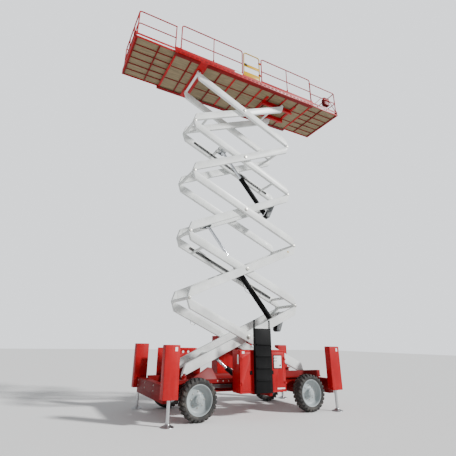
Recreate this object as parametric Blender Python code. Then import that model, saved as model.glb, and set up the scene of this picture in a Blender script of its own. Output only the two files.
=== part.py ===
"""Rough-terrain scissor lift with five arm stages, roll-out deck ends, jack legs and a swing gate.

Frame: metres, +Z up, X along the machine, Y across it. The origin lies on the floor under the middle of the
raised deck. Everything is designed about the scissor's own centre line, which the empty "machine" carries.
"""
import bpy
import bmesh
from math import acos, asin, atan2, cos, hypot, pi, radians, sin
from mathutils import Matrix, Vector

# ---------------------------------------------------------------- driving dimensions
MACHINE_X = -0.11            # scissor centre line from the origin
CLEAR = 0.0003               # gap between pieces that touch
RUN = 0.0005                 # radial running clearance of a pin in its bore

# scissor stack
STAGES = 5
ARM_LENGTH = 4.124           # pin to pin
LIFT_ANGLE = radians(27.37)  # pin line above level, as it stands
BASE_PIN_Z = 0.901
TUBE_DEPTH = 0.236
STACK_GAP = 0.016            # between two arms folded on each other
TUBE_WIDTH = 0.100
INNER_Y = 0.445              # middle of the inner arms
OUTER_Y = 0.570              # middle of the outer arms
NOSE_R = 0.062
NOSE_CHAMFER = 0.140
NOSE_GAP = 0.008             # around a nose, in the slot that takes it
TONGUE = 0.047
TONGUE_GAP = 0.0025
PIN_R = 0.032
CENTRE_PIN_R = 0.040
CAP_R = 0.046
CENTRE_CAP_R = 0.056
OUTER_CAP = 0.022
INNER_CAP = 0.009
CROSS_R = 0.045
ROLLER_R = 0.055
ROLLER_Y = (0.635, 0.690)
DECK_ROLLER_Y = (0.305, 0.360)
AXLE_STUB_R = 0.028

# lift cylinders: eye places are (along the pin line from the arm's centre, square to it)
BARREL_R = 0.080
ROD_R = 0.045
EYE_R = 0.075
EYE_HALF = 0.086             # wider than any barrel, so that no barrel meets the lugs
EYE_PIN_R = 0.030
LUG = 0.022
LUG_GAP = 0.004
LOWER_FOOT = (1.40, -0.44)
LOWER_HEAD = (-1.18, 0.00)
UPPER_FOOT = (1.15, -0.42)
UPPER_HEAD = (0.62, 0.05)
BASE_HEAD = (-0.893, -0.149)
BASE_FOOT = (0.49, 0.424)    # x, z in the chassis
BASE_BARREL_R = 0.062
BASE_ROD_R = 0.036

# chassis
RAIL_IN = 0.630
RAIL_OUT = 0.745
RAIL_WEB = 0.030
RAIL_LOW = 0.560
RAIL_TOP = 0.8455
RAIL_ENDS = (-2.38, 2.40)
TRACK_X = (1.08, 2.38)
TRACK_TOP = 0.985
STEER_BAY = (1.08, 2.28)     # where the rails leave room for a steered wheel
TRACK_OUT = 0.735

# wheels
WHEEL_X = 1.677
WHEEL_R = 0.460
TYRE_IN = 0.856
TYRE_OUT = 1.146
RIM_R = 0.330
SPINDLE_R = 0.045
KINGPIN_Y = 0.740
KINGPIN_R = 0.022
AXLE_R = 0.070

# outrigger boxes and jack legs
JACK_X = 2.4675
JACK_Y = 1.2035
JACK_BOX = (0.36, 0.20)      # along X, along Y
JACK_BOX_Z = (0.52, 1.63)
LEG_R = 0.039
PAD_R = 0.150
PAD_LIFT = 0.002             # under the pads while the tyres carry the machine

# side boxes
SIDE_X = (-0.60, 0.80)
SIDE_Y = (0.765, 1.150)
SIDE_Z = (0.540, 1.530)
FAR_X = (-0.24, 1.00)         # the engine box on the far side
HOOD_TOP = 1.880             # of the engine box
WALL = 0.020
DOOR_GAP = 0.005
HINGE_R = 0.009
HINGE_OUT = 0.010            # hinge line in front of a door's face
HINGE_LENGTH = 0.035
PANEL_X = (-2.14, -0.81)     # upright panel on the far rail
PANEL_Z = (0.700, 1.540)
LADDER_X = (-0.20, 0.30)
LADDER_Z = (0.54, 2.06)
RUNG_STEP = 0.28
LOOP_TOP = 2.26

# platform
DECK_X = (-2.860, 3.000)
DECK_HALF = 0.990
DECK_FLOOR = 10.650
SLAB = 0.050
SLAB_HALF = 0.870
SIDE_BEAM = 0.045
UNDER_Z = (10.450, 10.528)
RAIL_TUBE = 0.020
RAIL_TOP_Z = 11.760
RAIL_MID_Z = 11.170
TOE_TOP = 10.700
TOE_BOARD = 0.012
GATE_X = (-0.240, 0.460)
LEFT_END = -4.160
RIGHT_END = 4.380
END_OVERLAP = 0.300
END_PLATE = 0.050
END_BOARD = 0.030
BOARD_TOP = 10.740
END_HALF = 0.935
END_RAIL_Y = 0.905
END_RAIL_TOP = 11.660
END_RAIL_MID = 11.150

ROUND = 8                    # sides of a pin or boss

# ---------------------------------------------------------------- worked out from them
PIN_RISE = (TUBE_DEPTH + STACK_GAP) / 2            # end pins from the tube's axis
TUBE_TILT = asin(2 * PIN_RISE / ARM_LENGTH)        # pin line above the tube's axis
PIN_REACH = ARM_LENGTH / 2 * cos(TUBE_TILT)
STAGE = ARM_LENGTH * sin(LIFT_ANGLE)
HALF_SPAN = ARM_LENGTH / 2 * cos(LIFT_ANGLE)
TOP_PIN_Z = BASE_PIN_Z + STAGES * STAGE
SLOT_R = NOSE_R + NOSE_GAP

# ---------------------------------------------------------------- scene
for old in list(bpy.data.objects):
    bpy.data.objects.remove(old, do_unlink=True)
lift = bpy.data.collections.new("scissor_lift")
cutters = bpy.data.collections.new("cutters")
bpy.context.scene.collection.children.link(lift)
bpy.context.scene.collection.children.link(cutters)


def finish(name, colour, roughness, metallic=0.0):
    material = bpy.data.materials.new(name)
    material.use_nodes = True
    shader = material.node_tree.nodes["Principled BSDF"]
    shader.inputs["Base Color"].default_value = (*colour, 1.0)
    shader.inputs["Roughness"].default_value = roughness
    shader.inputs["Metallic"].default_value = metallic
    return material


RED = finish("red_paint", (0.62, 0.022, 0.020), 0.35)
DARK_RED = finish("chassis_paint", (0.34, 0.012, 0.012), 0.45)
WHITE = finish("arm_paint", (0.80, 0.82, 0.79), 0.40)
BLACK = finish("black_paint", (0.012, 0.013, 0.014), 0.45)
YELLOW = finish("gate_paint", (0.85, 0.58, 0.02), 0.40)
STEEL = finish("bright_steel", (0.62, 0.63, 0.64), 0.25, 1.0)
GREY = finish("rim_paint", (0.50, 0.53, 0.53), 0.40)
RUBBER = finish("tyre_rubber", (0.035, 0.034, 0.032), 0.80)
IRON = finish("engine_iron", (0.10, 0.10, 0.11), 0.60)

# ---------------------------------------------------------------- shaping tools


def keep(mesh):
    piece = bpy.data.objects.new("piece", mesh)
    cutters.objects.link(piece)
    return piece


def from_bmesh(shape):
    mesh = bpy.data.meshes.new("piece")
    shape.to_mesh(mesh)
    shape.free()
    return keep(mesh)


def block(x, y, z):
    """A box between two values on each axis."""
    shape = bmesh.new()
    bmesh.ops.create_cube(shape, size=1.0)
    for vert in shape.verts:
        vert.co = [span[side > 0] for span, side in zip((x, y, z), vert.co)]
    return from_bmesh(shape)


def rod(start, end, radius, sides=ROUND, end_radius=None):
    """A round bar or cone from one point to another."""
    start, end = Vector(start), Vector(end)
    shape = bmesh.new()
    last = radius if end_radius is None else end_radius
    bmesh.ops.create_cone(shape, cap_ends=True, segments=sides, radius1=radius, radius2=last,
                          depth=(end - start).length)
    turn = (end - start).to_track_quat("Z", "Y").to_matrix().to_4x4()
    bmesh.ops.transform(shape, matrix=Matrix.Translation((start + end) / 2) @ turn, verts=shape.verts)
    level = [axis for axis in range(3) if abs(end[axis] - start[axis]) > 1e-6]
    if len(level) == 1:
        axis = level[0]
        for vert in shape.verts:
            vert.co[axis] = min((start[axis], end[axis]), key=lambda value: abs(value - vert.co[axis]))
    return from_bmesh(shape)


def cross(x, z, y, radius, sides=ROUND):
    """A round bar across the machine, at (x, z), between two values of y."""
    return rod((x, min(y), z), (x, max(y), z), radius, sides)


def half_turned(piece, place, axis, sides):
    """The piece turned half a step of its sides about an axis through a place."""
    there = Matrix.Translation(place)
    piece.data.transform(there @ Matrix.Rotation(pi / sides, 4, axis) @ there.inverted())
    return piece


def bore(x, z, y, pin_radius, sides=ROUND, half_step=False):
    """The cutter that leaves a pin its running clearance on every flat of the hole.

    The flats of the hole face the pin's corners when one of the two is half a step round from the other.
    """
    cutter = cross(x, z, y, (pin_radius + RUN) / cos(pi / sides), sides)
    return half_turned(cutter, (x, 0, z), "Y", sides) if half_step else cutter


def settled(obj):
    """The evaluated mesh of an object whose curve or modifiers are done with; the object is removed."""
    graph = bpy.context.evaluated_depsgraph_get()
    mesh = bpy.data.meshes.new_from_object(obj.evaluated_get(graph))
    bpy.data.objects.remove(obj, do_unlink=True)
    return mesh


def welded(mesh):
    shape = bmesh.new()
    shape.from_mesh(mesh)
    bmesh.ops.remove_doubles(shape, verts=shape.verts, dist=1e-6)
    shape.to_mesh(mesh)
    shape.free()
    return mesh


ACROSS = {
    "X": Matrix(((0, 0, 1, 0), (1, 0, 0, 0), (0, 1, 0, 0), (0, 0, 0, 1))),
    "Y": Matrix(((1, 0, 0, 0), (0, 0, -1, 0), (0, 1, 0, 0), (0, 0, 0, 1))),
    "Z": Matrix.Identity(4),
}


def flat(outline, span, axis="Y"):
    """A plate: its outline in the two other axes, its thickness between two values along axis."""
    curve = bpy.data.curves.new("outline", "CURVE")
    curve.dimensions = "2D"
    curve.fill_mode = "BOTH"
    curve.extrude = abs(span[1] - span[0]) / 2
    spline = curve.splines.new("POLY")
    spline.points.add(len(outline) - 1)
    for point, (a, b) in zip(spline.points, outline):
        point.co = (a, b, 0.0, 1.0)
    spline.use_cyclic_u = True
    obj = bpy.data.objects.new("outline", curve)
    cutters.objects.link(obj)
    mesh = welded(settled(obj))
    mesh.transform(ACROSS[axis])
    number = "XYZ".index(axis)
    for vert in mesh.vertices:
        vert.co[number] = max(span) if vert.co[number] > 0 else min(span)
    return keep(mesh)


def rounded(points, radius, steps=2):
    """A path through points with its inner corners turned to arcs."""
    points = [Vector(p) for p in points]
    path = [points[0]]
    for before, corner, after in zip(points, points[1:], points[2:]):
        come = (before - corner).normalized()
        leave = (after - corner).normalized()
        half = come.angle(leave) / 2
        back = radius / abs(sin(half)) * cos(half)
        centre = corner + (come + leave).normalized() * radius / sin(half)
        first = (corner + come * back - centre).normalized()
        last = (corner + leave * back - centre).normalized()
        for step in range(steps + 1):
            path.append(centre + first.slerp(last, step / steps) * radius)
    path.append(points[-1])
    return path


def tube(points, radius, closed=False):
    """A bent tube of six sides along a path."""
    curve = bpy.data.curves.new("tube", "CURVE")
    curve.dimensions = "3D"
    curve.bevel_depth = radius
    curve.bevel_resolution = 1
    curve.use_fill_caps = True
    spline = curve.splines.new("POLY")
    spline.points.add(len(points) - 1)
    for point, place in zip(spline.points, points):
        point.co = (*place, 1.0)
    spline.use_cyclic_u = closed
    obj = bpy.data.objects.new("tube", curve)
    cutters.objects.link(obj)
    return keep(welded(settled(obj)))


def turned(profile, sides):
    """A shape turned about a line along Y through the origin: profile gives (radius, distance along y)."""
    shape = bmesh.new()
    verts = [shape.verts.new((radius, along, 0.0)) for radius, along in profile]
    for a, b in zip(verts, verts[1:] + verts[:1]):
        if a.co.x > 0 or b.co.x > 0:
            shape.edges.new((a, b))
    bmesh.ops.spin(shape, geom=list(shape.verts) + list(shape.edges), cent=(0, 0, 0), axis=(0, 1, 0),
                   angle=2 * pi, steps=sides, use_merge=True)
    bmesh.ops.remove_doubles(shape, verts=shape.verts, dist=1e-6)
    bmesh.ops.recalc_face_normals(shape, faces=shape.faces)
    return from_bmesh(shape)


def fuse(pieces, holes=()):
    """One solid from overlapping pieces, less the holes."""
    base = pieces[0]
    for operation, others in (("UNION", pieces[1:]), ("DIFFERENCE", holes)):
        for other in others:
            step = base.modifiers.new(operation.lower(), "BOOLEAN")
            step.operation = operation
            step.object = other
    mesh = settled(base)
    for other in [*pieces[1:], *holes]:
        bpy.data.objects.remove(other, do_unlink=True)
    return mesh


# ---------------------------------------------------------------- bodies: one empty on each joint's axis
bodies = {}


def body(name, at=(0, 0, 0), parent=None):
    empty = bpy.data.objects.new(name + "_axis", None)
    lift.objects.link(empty)
    empty.empty_display_size = 0.1
    home = Vector(at)
    if parent:
        empty.parent = bodies[parent][0]
        empty.location = home - bodies[parent][1]
    else:
        empty.location = home
    bodies[name] = (empty, home)


machine = bpy.data.objects.new("machine", None)
lift.objects.link(machine)
machine.location = (MACHINE_X, 0, 0)
body("chassis")
bodies["chassis"][0].parent = machine


def node(name, mesh, owner, material, local=None):
    """A named piece on a body; its mesh is in machine coordinates, or in its own when local gives its place."""
    empty, home = bodies[owner]
    mesh.name = name
    mesh.materials.clear()
    mesh.materials.append(material)
    obj = bpy.data.objects.new(name, mesh)
    lift.objects.link(obj)
    obj.parent = empty
    if local is None:
        mesh.transform(Matrix.Translation(-home))
    else:
        place, turn = local
        obj.location = Vector(place) - home
        obj.rotation_euler = turn
    mesh.shade_smooth()
    mesh.set_sharp_from_angle(angle=radians(35))
    return obj


def both(span):
    """The same span of y on the near side and on the far side."""
    return [(-span[1], -span[0]), tuple(span)]


# ---------------------------------------------------------------- scissor arms


def in_tube(place):
    """A place given along and square to the pin line, in the tube's own level frame."""
    along, square = place
    return (along * cos(TUBE_TILT) - square * sin(TUBE_TILT), along * sin(TUBE_TILT) + square * cos(TUBE_TILT))


def arm_outline():
    """A tube with a round nose at each pin and its far corners cut back."""
    meet = asin((PIN_RISE - TUBE_DEPTH / 2) / NOSE_R)
    corner = (NOSE_CHAMFER, PIN_RISE + TUBE_DEPTH / 2)
    tangent = atan2(corner[1], corner[0]) + acos(NOSE_R / hypot(*corner))
    steps = 4
    half = []
    for step in range(steps + 1):
        angle = meet - (meet + 2 * pi - tangent) * step / steps
        half.append((-PIN_REACH + NOSE_R * cos(angle), -PIN_RISE + NOSE_R * sin(angle)))
    half.append((-PIN_REACH + corner[0], TUBE_DEPTH / 2))
    return half + [(-u, -v) for u, v in half]


def lug_outline(near, near_r, far, far_r, steps=2):
    """The belt round two circles: a lug from a cross tube to an eye."""
    lean = atan2(far[1] - near[1], far[0] - near[0])
    open_angle = acos((near_r - far_r) / hypot(far[0] - near[0], far[1] - near[1]))
    outline = []
    for centre, radius, first, last in ((far, far_r, lean - open_angle, lean + open_angle),
                                        (near, near_r, lean + open_angle, lean + 2 * pi - open_angle)):
        for step in range(steps + 1):
            angle = first + (last - first) * step / steps
            outline.append((centre[0] + radius * cos(angle), centre[1] + radius * sin(angle)))
    return outline


def eye_lugs(eye, tie, tie_r, pinned):
    """Two lugs on a cross tube, beside a cylinder's eye; pinned adds the pin that the eye turns on."""
    inside = EYE_HALF + LUG_GAP
    pieces = []
    for span in both((inside, inside + LUG)):
        pieces.append(flat(lug_outline(tie, tie_r + 0.012, eye, EYE_R), span))
    if pinned:
        pieces.append(cross(*eye, (-inside - LUG - 0.01, inside + LUG + 0.01), EYE_PIN_R))
    return pieces


def arm_mesh(middle, inner, ties=(), lugs=(), foot="tongue", head="fork", on_arms=True):
    """A pair of arms joined across the machine, level, with the high end at +X; on_arms if its foot stands on arms."""
    y0, y1 = middle - TUBE_WIDTH / 2, middle + TUBE_WIDTH / 2
    high, low = (PIN_REACH, PIN_RISE), (-PIN_REACH, -PIN_RISE)
    cap = INNER_CAP if inner else OUTER_CAP
    pieces, holes = [], []
    for side in (-1, 1):
        near, far = side * y0, side * y1
        pieces.append(flat(arm_outline(), sorted((near, far))))
        if head == "fork":
            slot = TONGUE / 2 + TONGUE_GAP
            holes.append(cross(*high, (side * (middle - slot), side * (middle + slot)), SLOT_R / cos(pi / ROUND)))
        if foot == "tongue":
            for outer_edge in (near - side * 0.01, far + side * 0.01):
                inner_edge = side * (middle + (TONGUE / 2 if abs(outer_edge) > middle else -TONGUE / 2))
                holes.append(cross(*low, (outer_edge, inner_edge), SLOT_R / cos(pi / ROUND)))
            holes.append(bore(*low, (near, far), PIN_R, half_step=on_arms))
        if not inner:
            holes.append(bore(0, 0, (near - side * 0.01, far + side * 0.01), CENTRE_PIN_R, half_step=True))
    mesh = fuse(pieces[:1], holes[:len(holes) // 2])
    other = fuse(pieces[1:], holes[len(holes) // 2:])
    extra = [keep(mesh), keep(other)]
    sink = 0.012
    for u, v, radius in ties:
        extra.append(cross(u, v, (-y0 - sink, y0 + sink), radius))
    for eye, tie, tie_r, pinned in lugs:
        extra.extend(eye_lugs(eye, tie, tie_r, pinned))
    for side in (-1, 1):
        if head == "fork":
            extra.append(cross(*high, (side * (y0 - 0.002), side * (y1 + 0.002)), PIN_R))
            extra.append(cross(*high, (side * (y1 - 0.006), side * (y1 + cap)), CAP_R))
        else:
            extra.append(cross(*high, (side * DECK_ROLLER_Y[0], side * (y0 + sink)), AXLE_STUB_R))
            extra.append(cross(*high, (side * DECK_ROLLER_Y[0], side * DECK_ROLLER_Y[1]), ROLLER_R))
        if foot == "roller":
            extra.append(cross(*low, (side * (y1 - sink), side * ROLLER_Y[1]), AXLE_STUB_R))
            extra.append(cross(*low, (side * ROLLER_Y[0], side * ROLLER_Y[1]), ROLLER_R))
        if inner:
            reach = OUTER_Y + TUBE_WIDTH / 2
            extra.append(cross(0, 0, (side * (y1 - sink), side * (reach + 0.01)), CENTRE_PIN_R))
            extra.append(cross(0, 0, (side * (reach + RUN), side * (reach + OUTER_CAP - 0.002)), CENTRE_CAP_R))
    if head == "fork":
        extra.append(cross(*high, (-y0 - sink / 4, y0 + sink / 4), CROSS_R))
    return fuse(extra)


def arm_place(stage, rising):
    """Where an arm of a stage sits: its centre pin, and its turn about Y (with a half turn if it falls)."""
    tilt = LIFT_ANGLE - TUBE_TILT
    centre = (0, 0, BASE_PIN_Z + STAGE * (stage - 0.5))
    return centre, ((0, -tilt, 0) if rising else (0, -tilt, pi))


def pin_at(stage, side):
    """The end pin at the top of a stage: side is -1 on the left, 1 on the right."""
    return (side * HALF_SPAN, 0, BASE_PIN_Z + STAGE * stage)


LOWER_FOOT_TIE = (1.80, 0.0)
UPPER_FOOT_TIE = (1.60, 0.0)
TIE_U = 1.42
INNER_TIE_U = 1.75           # where a bracket of the arm above folds past the usual place
PLAIN_TIE = 0.040

# each stage: is its inner arm rising, and the inner arm's cross tubes and cylinder lugs
INNER_RISES = {1: True, 2: False, 3: True, 4: False, 5: True}
INNER_TIES = {
    1: [(-TIE_U, 0, PLAIN_TIE), (*LOWER_FOOT_TIE, 0.055), (-1.03, -0.05, 0.050)],
    2: [(-INNER_TIE_U, 0, PLAIN_TIE), (TIE_U, 0, PLAIN_TIE)],
    3: [(*UPPER_FOOT_TIE, 0.055), (-1.37, -0.04, 0.050)],
    4: [(-TIE_U, 0, PLAIN_TIE), (0.81, 0.06, 0.050)],
    5: [(-TIE_U, 0, PLAIN_TIE), (TIE_U, 0, PLAIN_TIE)],
}
INNER_LUGS = {
    1: [(in_tube(LOWER_FOOT), LOWER_FOOT_TIE, 0.055, True), (in_tube(BASE_HEAD), (-1.03, -0.05), 0.050, False)],
    3: [(in_tube(UPPER_FOOT), UPPER_FOOT_TIE, 0.055, True), (in_tube(LOWER_HEAD), (-1.37, -0.04), 0.050, False)],
    4: [(in_tube(UPPER_HEAD), (0.81, 0.06), 0.050, False)],
}

below = "chassis"
for stage in range(1, STAGES + 1):
    rises = INNER_RISES[stage]
    inner, outer = f"stage_{stage}_inner_arms", f"stage_{stage}_outer_arms"
    # on odd stages the inner arms stand on the body below and carry the outer ones, on even stages the reverse
    foot_side = -1
    first, second = (inner, outer) if rises else (outer, inner)
    body(first, pin_at(stage - 1, foot_side), below)
    body(second, arm_place(stage, True)[0], first)
    head = "roller" if stage == STAGES else "fork"
    foot = "roller" if stage == 1 else "tongue"
    place, turn = arm_place(stage, rises)
    node(inner, arm_mesh(INNER_Y, True, INNER_TIES[stage], INNER_LUGS.get(stage, ()), head=head, on_arms=stage > 1),
         inner, WHITE, (place, turn))
    place, turn = arm_place(stage, not rises)
    node(outer, arm_mesh(OUTER_Y, False, foot=foot), outer, WHITE, (place, turn))
    below = second

# ---------------------------------------------------------------- lift cylinders


def on_arm(stage, rising, place):
    """A place on an arm, given along and square to its pin line, in machine coordinates (x, z)."""
    along, square = place
    lean = LIFT_ANGLE
    x = along * cos(lean) - square * sin(lean)
    z = along * sin(lean) + square * cos(lean)
    return (x if rising else -x, BASE_PIN_Z + STAGE * (stage - 0.5) + z)


def cylinder(name, foot, head, carrier, barrel_r, rod_r, mouth_at, held):
    """A barrel hinged at its foot eye, and a rod up to its own eye with a length held in the barrel."""
    start, end = Vector((foot[0], 0, foot[1])), Vector((head[0], 0, head[1]))
    way = (end - start).normalized()
    body(name + "_barrel", start, carrier)
    body(name + "_rod", start, name + "_barrel")
    mouth = start + way * mouth_at
    half = EYE_HALF
    barrel = fuse(
        [rod(start + way * EYE_R * 0.6, mouth, barrel_r, 12), cross(foot[0], foot[1], (-half, half), EYE_R),
         rod(mouth - way * 0.09, mouth - way * 0.002, barrel_r + 0.008, 12)],
        [bore(foot[0], foot[1], (-half - 0.01, half + 0.01), EYE_PIN_R, half_step=carrier == "chassis"),
         rod(start + way * (EYE_R + 0.06), mouth + way * 0.01, rod_r + RUN)])
    node(name + "_barrel", barrel, name + "_barrel", BLACK)
    eye = EYE_R * 0.85
    inner_end = start + way * (mouth_at - held)
    piston = fuse(
        [rod(inner_end, end - way * eye * 0.5, rod_r), cross(head[0], head[1], (-half + 0.002, half - 0.002), eye)],
        [bore(head[0], head[1], (-half - 0.01, half + 0.01), EYE_PIN_R)])
    node(name + "_rod", piston, name + "_rod", STEEL)


cylinder("lower_cylinder", on_arm(1, True, LOWER_FOOT), on_arm(3, True, LOWER_HEAD), "stage_1_inner_arms",
         BARREL_R, ROD_R, 2.50, 0.90)
cylinder("upper_cylinder", on_arm(3, True, UPPER_FOOT), on_arm(4, False, UPPER_HEAD), "stage_3_inner_arms",
         BARREL_R, ROD_R, 1.62, 0.62)
cylinder("base_cylinder", BASE_FOOT, on_arm(1, True, BASE_HEAD), "chassis",
         BASE_BARREL_R, BASE_ROD_R, 1.05, 0.40)

# ---------------------------------------------------------------- chassis
BEAM_Z = (0.600, 0.800)
END_BEAM_Z = (0.420, 0.780)
SIDE = RAIL_IN + 0.01


def chassis_frame():
    pieces = []
    for side in (-1, 1):
        web = sorted((side * RAIL_IN, side * (RAIL_IN + RAIL_WEB)))
        deep = sorted((side * RAIL_IN, side * RAIL_OUT))
        shallow = sorted((side * RAIL_IN, side * TRACK_OUT))
        pieces.append(block(RAIL_ENDS, web, (RAIL_LOW, RAIL_TOP)))
        pieces.append(block((RAIL_ENDS[0], STEER_BAY[0]), deep, (RAIL_TOP - 0.09, RAIL_TOP)))
        pieces.append(block((RAIL_ENDS[0], STEER_BAY[0]), deep, (RAIL_LOW, RAIL_LOW + 0.03)))
        # the track that the foot rollers run in
        pieces.append(block((STEER_BAY[0] - 0.02, RAIL_ENDS[1]), shallow, (RAIL_TOP - 0.03, RAIL_TOP)))
        out = sorted((side * (ROLLER_Y[1] + 0.008), side * TRACK_OUT))
        pieces.append(block(TRACK_X, out, (RAIL_TOP - 0.01, TRACK_TOP)))
        pieces.append(block(TRACK_X, shallow, (BASE_PIN_Z + ROLLER_R + RUN, TRACK_TOP)))
        # pivot lugs of the fixed end
        for edge in (1, -1):
            low_y = INNER_Y + edge * (TONGUE / 2 + TONGUE_GAP)
            high_y = INNER_Y + edge * TUBE_WIDTH / 2
            span = sorted((side * low_y, side * high_y))
            pieces.append(flat(lug_outline((-HALF_SPAN, 0.74), NOSE_R, (-HALF_SPAN, BASE_PIN_Z), NOSE_R), span))
        reach = (side * (INNER_Y - TUBE_WIDTH / 2 - 0.003), side * (INNER_Y + TUBE_WIDTH / 2 + 0.003))
        pieces.append(cross(-HALF_SPAN, BASE_PIN_Z, reach, PIN_R))
        # gusset on the rail
        gusset = [(-1.78, RAIL_TOP - 0.01), (-1.02, RAIL_TOP - 0.01), (-1.18, 1.10), (-1.30, 1.12)]
        pieces.append(flat(gusset, sorted((side * (RAIL_OUT - 0.035), side * (RAIL_OUT - 0.020)))))
        # brackets that carry the side boxes
        for x in ((SIDE_X if side < 0 else FAR_X)[0] + 0.15, (SIDE_X if side < 0 else FAR_X)[1] - 0.25):
            pieces.append(block((x, x + 0.10), sorted((side * (RAIL_IN + 0.01), side * (SIDE_Y[0] - CLEAR))),
                                (0.64, 0.74)))
    for x in (-HALF_SPAN, 0.90):
        pieces.append(block((x - 0.07, x + 0.07), (-SIDE, SIDE), (BEAM_Z[0], 0.74 if x > 0 else BEAM_Z[1])))
    # end beams that carry the outrigger boxes
    half = JACK_Y - JACK_BOX[1] / 2 - CLEAR
    for end in (-1, 1):
        x = sorted((end * (JACK_X - 0.09), end * (JACK_X + 0.09)))
        pieces.append(block(x, (-half, half), (END_BEAM_Z[1] - 0.24, END_BEAM_Z[1])))
        inset = sorted((end * (JACK_X - 0.088), end * (JACK_X + 0.088)))
        deep = JACK_Y - PAD_R - 0.012
        pieces.append(block(inset, (-deep, deep), (END_BEAM_Z[0], END_BEAM_Z[1] - 0.10)))
    # foot of the base cylinder
    beam = (BASE_FOOT[0] + 0.13, BASE_FOOT[0] + 0.23)
    pieces.append(block(beam, (-SIDE, SIDE), (BASE_FOOT[1] - 0.05, RAIL_LOW + 0.05)))
    inside = EYE_HALF + LUG_GAP
    tie = ((beam[0] + beam[1]) / 2, BASE_FOOT[1] + 0.02)
    for span in both((inside, inside + LUG)):
        pieces.append(flat(lug_outline(tie, 0.05, BASE_FOOT, EYE_R), span))
    pieces.append(cross(*BASE_FOOT, (-inside - LUG - 0.004, inside + LUG + 0.004), EYE_PIN_R))
    return fuse(pieces)


node("chassis_frame", chassis_frame(), "chassis", DARK_RED)


def hinge_halves(x, side, top, toward, lower):
    """Half of each of a door's two hinges: a leaf on the panel's face and a barrel on the hinge line."""
    face = side * SIDE_Y[1]
    line = side * (SIDE_Y[1] + HINGE_OUT)
    pieces = []
    for height in (SIDE_Z[0] + 0.18, top - 0.24):
        low = height if lower else height + HINGE_LENGTH + RUN
        span = (low, low + HINGE_LENGTH)
        pieces.append(block(sorted((x + toward * 0.002, x + toward * 0.050)),
                            sorted((face - side * 0.002, face + side * 0.005)), span))
        pieces.append(rod((x, line, span[0]), (x, line, span[1]), HINGE_R))
    return pieces


def side_box(x, side, top, openings, hinges):
    """A sheet-metal box hung on a rail, open where its doors are."""
    z = (SIDE_Z[0], top)
    body_block = block(x, sorted((side * SIDE_Y[0], side * SIDE_Y[1])), z)
    cavity = block((x[0] + WALL, x[1] - WALL), sorted((side * (SIDE_Y[0] + WALL), side * (SIDE_Y[1] - WALL))),
                   (z[0] + WALL, z[1] - WALL))
    mouths = [block(span, sorted((side * (SIDE_Y[1] - 2 * WALL), side * (SIDE_Y[1] + WALL))),
                    (z[0] + 2 * WALL, z[1] - 2 * WALL)) for span in openings]
    shell = keep(fuse([body_block], [cavity, *mouths]))
    leaves = [half for hinge_x, toward in hinges for half in hinge_halves(hinge_x, side, top, toward, True)]
    return fuse([shell, *leaves])


def door(span, side, top, hinge_x, toward):
    """A panel in its opening, a door gap clear all round, with its halves of the hinges."""
    x = (span[0] + DOOR_GAP, span[1] - DOOR_GAP)
    y = sorted((side * (SIDE_Y[1] - WALL), side * SIDE_Y[1]))
    panel = block(x, y, (SIDE_Z[0] + 2 * WALL + DOOR_GAP, top - 2 * WALL - DOOR_GAP))
    return fuse([panel, *hinge_halves(hinge_x, side, top, -toward, False)])


EDGE = 0.03                  # of the box beside a door opening
NEAR_SPANS = ((SIDE_X[0] + EDGE, LADDER_X[0] - EDGE), (LADDER_X[1] + EDGE, SIDE_X[1] - EDGE))
FAR_SPAN = (FAR_X[0] + EDGE, FAR_X[1] - EDGE)
NEAR_HINGES = ((NEAR_SPANS[0][0], -1), (NEAR_SPANS[1][1], 1))
node("near_side_box", side_box(SIDE_X, -1, SIDE_Z[1], NEAR_SPANS, NEAR_HINGES), "chassis", RED)
node("far_side_box", side_box(FAR_X, 1, HOOD_TOP, [FAR_SPAN], [(FAR_SPAN[0], -1)]), "chassis", RED)
for name, side, top, span, (hinge_x, toward) in (
        ("near_left_door", -1, SIDE_Z[1], NEAR_SPANS[0], NEAR_HINGES[0]),
        ("near_right_door", -1, SIDE_Z[1], NEAR_SPANS[1], NEAR_HINGES[1]),
        ("far_door", 1, HOOD_TOP, FAR_SPAN, (FAR_SPAN[0], -1))):
    body(name, (hinge_x, side * (SIDE_Y[1] + HINGE_OUT), SIDE_Z[0]), "chassis")
    node(name, door(span, side, top, hinge_x, toward), name, RED)
ENGINE_Y = (SIDE_Y[0] + WALL + 0.02, SIDE_Y[1] - WALL - 0.03)


def far_panel():
    """An upright plate on the far rail, its inner top corner rounded, with two holes."""
    corner = 0.20
    arc = [(PANEL_X[1] - corner * (1 - cos(pi / 8 * step)), PANEL_Z[1] - corner * (1 - sin(pi / 8 * step)))
           for step in range(5)]
    outline = [(PANEL_X[0], PANEL_Z[0]), (PANEL_X[1], PANEL_Z[0]), *arc, (PANEL_X[0], PANEL_Z[1])]
    span = (RAIL_OUT + CLEAR, RAIL_OUT + CLEAR + 0.010)
    holes = [cross(x, 1.43, (span[0] - 0.01, span[1] + 0.01), 0.035) for x in (-1.37, -1.21)]
    return fuse([flat(outline, span)], holes)


node("far_side_panel", far_panel(), "chassis", RED)
node("engine_block", fuse([block((FAR_X[0] + 0.20, FAR_X[1] - 0.20), ENGINE_Y, (SIDE_Z[0] + WALL + CLEAR, 1.15))]), "chassis", IRON)


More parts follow.
